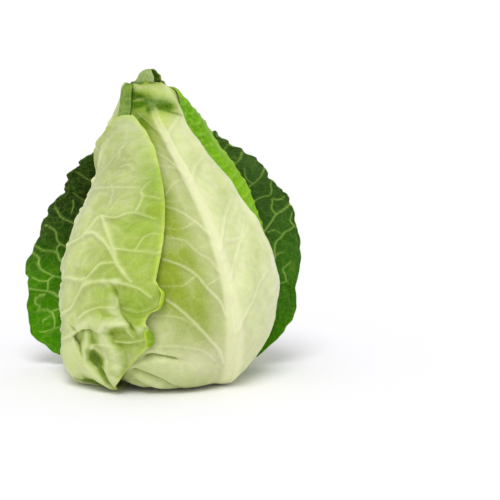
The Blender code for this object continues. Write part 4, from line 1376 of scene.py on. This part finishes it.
HEAD_SIDES = ((130, 0.0), (40, 3.0))  # columns of the outer and the inner face, and how deep it lies
HEAD_ROWS = 130
HEAD_SEAM = 16  # degrees over which the relief fades out at the back, where the face closes
HEAD_NET, HEAD_NET_WIDTH, HEAD_NET_RIDGE = 13, 1.1, 0.2
HEAD_WAVE, HEAD_WAVE_CELL = 0.3, 16


def make_head():
    """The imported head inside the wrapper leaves, with the edges of its own leaves in relief."""
    faces = []
    for columns, depth in HEAD_SIDES:
        rise = np.linspace(0.5, HEAD_LENGTH - 1, round(HEAD_ROWS * FINENESS))
        turns = np.linspace(-180, 180, round(columns * FINENESS) + 1)
        along, turn = np.meshgrid(rise, turns, indexing="ij")
        x, y = turn * degree_length(along), along
        seam = soft_step(180 - np.abs(turn), 0, HEAD_SEAM)
        veins = hump(net_distance(x, y, HEAD_NET, 31), HEAD_NET_WIDTH) * seam
        uneven = noise(x, y, HEAD_WAVE_CELL, 32) * seam
        relief = head_relief(along, turn) + HEAD_NET_RIDGE * veins + HEAD_WAVE * uneven
        lift = relief if depth == 0 else np.full(along.shape, -depth)
        tint = mix(mix(PALE, YELLOW_GREEN, 0.5 + 0.5 * uneven), IVORY, 0.5 * veins)
        faces.append((place(along, turn, lift), tint, np.stack([x, y], axis=-1) / FLAT_UNIT))
    piece = closed_sheet("packed_head_leaves", *faces)
    dress(piece, "packed_head", leaf_material("packed_head_tissue", 0.42, 0.3))


# The small curled tip above the head's point: height, half width and middle, and the part of it that is open.
CURL_LEVELS = [
    (202, 13.0, -12.8), (207.5, 13.0, -12.8), (210.6, 12.2, -12.7), (211.6, 9.4, -12.3), (212.9, 8.6, -12.0),
    (214.7, 7.8, -11.8), (217.1, 6.0, -12.2), (218.9, 3.9, -11.9), (219.8, 1.7, -11.3),
]
CURL_DEPTH = 0.78
CURL_FROM, CURL_TO = -250.0, 26.0
CURL_THICK = 0.7
CURL_RADIUS = 9
CURL_ROWS, CURL_COLUMNS = 54, 120
CURL_NET, CURL_NET_DEPTH, CURL_NET_WIDTH, CURL_LINE = 3.4, 0.25, 0.5, 0.35
CURL_MARGIN = 0.8  # how far the margins of the cup turn out
CURL_MARGINS = (0.05, 0.04)  # shares of the way round over which each of them does so
CURL_WAVE, CURL_RIM_WAVE = 0.5, 0.4  # unevenness of the cup, and of its rim's height
CURL_BACK = 1.0
CURL_SHADED_FOOT = (210.5, 212.5)  # heights between which the painted shade on the tip's foot ends
CURL_GREEN, CURL_VEIN, CURL_EDGE = (0.24, 0.34, 0.09), (0.44, 0.52, 0.24), (0.42, 0.50, 0.22)
CUP_GREEN, CUP_VEIN, CUP_EDGE = (0.09, 0.17, 0.02), (0.16, 0.28, 0.05), (0.24, 0.36, 0.10)


def curl_face():
    """The outer face of the curled tip: its points, flat coordinates, margins, net and heights."""
    counts = (round(CURL_ROWS * FINENESS), round(CURL_COLUMNS * FINENESS))
    level, side = np.meshgrid(*(np.linspace(0, 1, count) for count in counts), indexing="ij")
    shares = np.linspace(0, 1, len(CURL_LEVELS))
    height, half, middle = (curve(list(zip(shares, values)), level) for values in zip(*CURL_LEVELS))
    angle = np.radians(CURL_FROM + (CURL_TO - CURL_FROM) * side)
    x = CURL_RADIUS * angle
    margin = np.exp(-side / CURL_MARGINS[0]) + np.exp(-(1 - side) / CURL_MARGINS[1])
    net = net_distance(x, height, CURL_NET, 51)
    uneven = CURL_WAVE * noise(x, height, 7, 52) + CURL_WAVE * noise(x, height, 2.5, 53) * (0.4 + margin)
    half = half + uneven - CURL_NET_DEPTH * hump(net, CURL_NET_WIDTH) + CURL_MARGIN * margin
    depth = CURL_DEPTH * half * np.cos(angle)
    level_of_rim = height + CURL_RIM_WAVE * noise(x, height, 4, 54) * margin
    points = np.stack([middle + half * np.sin(angle), CURL_BACK - depth, level_of_rim], axis=-1)
    return points, np.stack([x, height], axis=-1) / FLAT_UNIT, margin, net, height


def make_curled_tip():
    """The left leaf's tip, curled over the head's point into a small cup that opens to the right."""
    points, chart, margin, net, height = curl_face()
    lines = hump(net, CURL_LINE)
    outer = mix(mix(CURL_GREEN, CURL_VEIN, 0.7 * lines), CURL_EDGE, 0.7 * margin)
    # painted shade on the lower part of the tip, its foot
    outer = mix(outer, HOLLOW_SHADE, 0.85 * (1 - soft_step(height, *CURL_SHADED_FOOT)))
    inner = mix(mix(CUP_GREEN, CUP_VEIN, lines), CUP_EDGE, soft_step(margin, 0.2, 1))
    inside = points - CURL_THICK * outward(points)
    piece = closed_sheet("wrapper_leaf_left_tip", (points, outer, chart), (inside, inner, chart))
    dress(piece, "wrapper_leaf_left", leaf_material("curled_tip_tissue", 0.45, 0.15))


def core_radius(height):
    """Radius of the stem and of the core that it becomes inside the head."""
    foot = STEM_CUT_RADIUS + (STEM_RADIUS - STEM_CUT_RADIUS) * math.sqrt(min(1, height / STEM_CUT_ROUND))
    neck = HEAD_PROFILE[0][1]
    taper = max(0, (height - neck) / (CORE_TOP - neck))
    return foot - (STEM_RADIUS - CORE_TOP_RADIUS) * taper


STEM_SIDES = 96
STEM_ROWS = ((CORE_TOP, 6, 40), (5, 0, 22))  # first and last height, and how many rings
CUT_FROM, CUT_RINGS = 0.6, 30  # the cut face starts this far in
GRAIN_CELL, GRAIN_SEED, STEM_GRAIN, CUT_GRAIN = 2, 41, 0.3, 0.15
STEM_GREEN, CUT_PALE, WOOD = (0.66, 0.72, 0.38), (0.78, 0.80, 0.56), (0.60, 0.58, 0.36)


def make_stem():
    """The cut stem and its core, with a ring of wood in the cut face."""
    levels = np.concatenate([np.linspace(*rows) for rows in STEM_ROWS])
    rings = [(0.01, CORE_TOP)] + [(core_radius(level), level) for level in levels]
    rings += [(r, 0.0) for r in np.linspace(STEM_CUT_RADIUS - CUT_FROM, 0.01, CUT_RINGS)]
    radius, height = (np.array(v)[::-1, None] for v in zip(*rings))
    angle = np.radians(np.linspace(-180, 180, STEM_SIDES + 1)[None, :-1])
    cut = (height < 0.001) & (radius < STEM_CUT_RADIUS)
    grain = noise(6 * np.cos(angle) + 40, 6 * np.sin(angle) + 0.3 * height, GRAIN_CELL, GRAIN_SEED)
    side = radius + STEM_GRAIN * grain * soft_step(radius, 3, 10) * ~cut
    bottom = height + np.where(cut, CUT_GRAIN * (1 + grain) * soft_step(radius, 1, 6), 0)
    points = round_points(side, angle, bottom)
    wood = hump(radius - WOOD_RING, WOOD_WIDTH) * cut + 0 * angle
    tint = mix(mix(STEM_GREEN, CUT_PALE, cut + 0 * angle), WOOD, 0.7 * wood)
    _, faces = tube_faces(*points.shape[:2])
    piece = finished_mesh("cut_stem", points, faces, tint, points[..., :2] / FLAT_UNIT)
    dress(piece, "stem_and_core", leaf_material("cut_stem_tissue", 0.6, 0.2, fine_net=0.1, bump=0.5))


# The view of the photograph: from a little above, with the cabbage left of the middle.
VIEW_DOWN = math.radians(10)
VIEW_DISTANCE = 1.4
VIEW_LENS = 140.0
VIEW_RIGHT = 0.059
VIEW_UP = 0.0898

SUN_STRENGTH = 1.5
SUN_AZIMUTH, SUN_ELEVATION = -4, 58  # degrees to the right of the front, and up
SUN_SOFTNESS = 30
SKY_STRENGTH = 0.68
FLOOR_HALF = 12.0
FLOOR_COLOUR = (0.955, 0.94, 0.985, 1)


def look_along(made, direction):
    """Turns a camera or a light to a direction."""
    made.rotation_mode = "QUATERNION"
    made.rotation_quaternion = direction.to_track_quat("-Z", "Y")


def make_camera():
    up = Vector((0, math.sin(VIEW_DOWN), math.cos(VIEW_DOWN)))
    look = Vector((0, math.cos(VIEW_DOWN), -math.sin(VIEW_DOWN)))
    lens = bpy.data.cameras.new("camera")
    lens.lens = VIEW_LENS
    lens.sensor_width = 36.0
    lens.clip_start = 0.05
    lens.clip_end = 100.0
    camera = add_object("camera", lens)
    camera.location = Vector((VIEW_RIGHT, 0, 0)) + up * VIEW_UP - look * VIEW_DISTANCE
    look_along(camera, look)
    bpy.context.scene.camera = camera


def make_sun():
    """A large soft light from above, a little to the left."""
    data = bpy.data.lights.new("soft_sun", "SUN")
    data.energy = SUN_STRENGTH
    data.angle = math.radians(SUN_SOFTNESS)
    a, e = math.radians(SUN_AZIMUTH), math.radians(SUN_ELEVATION)
    back = Vector((math.sin(a) * math.cos(e), -math.cos(a) * math.cos(e), math.sin(e)))
    look_along(add_object("soft_sun", data), -back)


def make_stage():
    """A plain white floor, and soft light from all round."""
    mesh = bpy.data.meshes.new("floor")
    corners = [(a * FLOOR_HALF, b * FLOOR_HALF, 0) for a, b in ((-1, -1), (1, -1), (1, 1), (-1, 1))]
    mesh.from_pydata(corners, [], [(0, 1, 2, 3)])
    floor = add_object("floor", mesh)
    white, _, shader = new_material("floor_white")
    set_inputs(shader, {"Base Color": FLOOR_COLOUR, "Roughness": 0.9, "Specular IOR Level": 0.1})
    mesh.materials.append(white)

    world = bpy.data.worlds.new("studio")
    bpy.context.scene.world = world
    world.use_nodes = True
    set_inputs(world.node_tree.nodes["Background"], {"Color": (1, 1, 1, 1), "Strength": SKY_STRENGTH})
    bpy.context.scene.view_settings.view_transform = "Standard"


def main():
    make_camera()
    make_stage()
    make_sun()
    make_leaves()
    make_curled_tip()
    make_head()
    make_stem()


main()
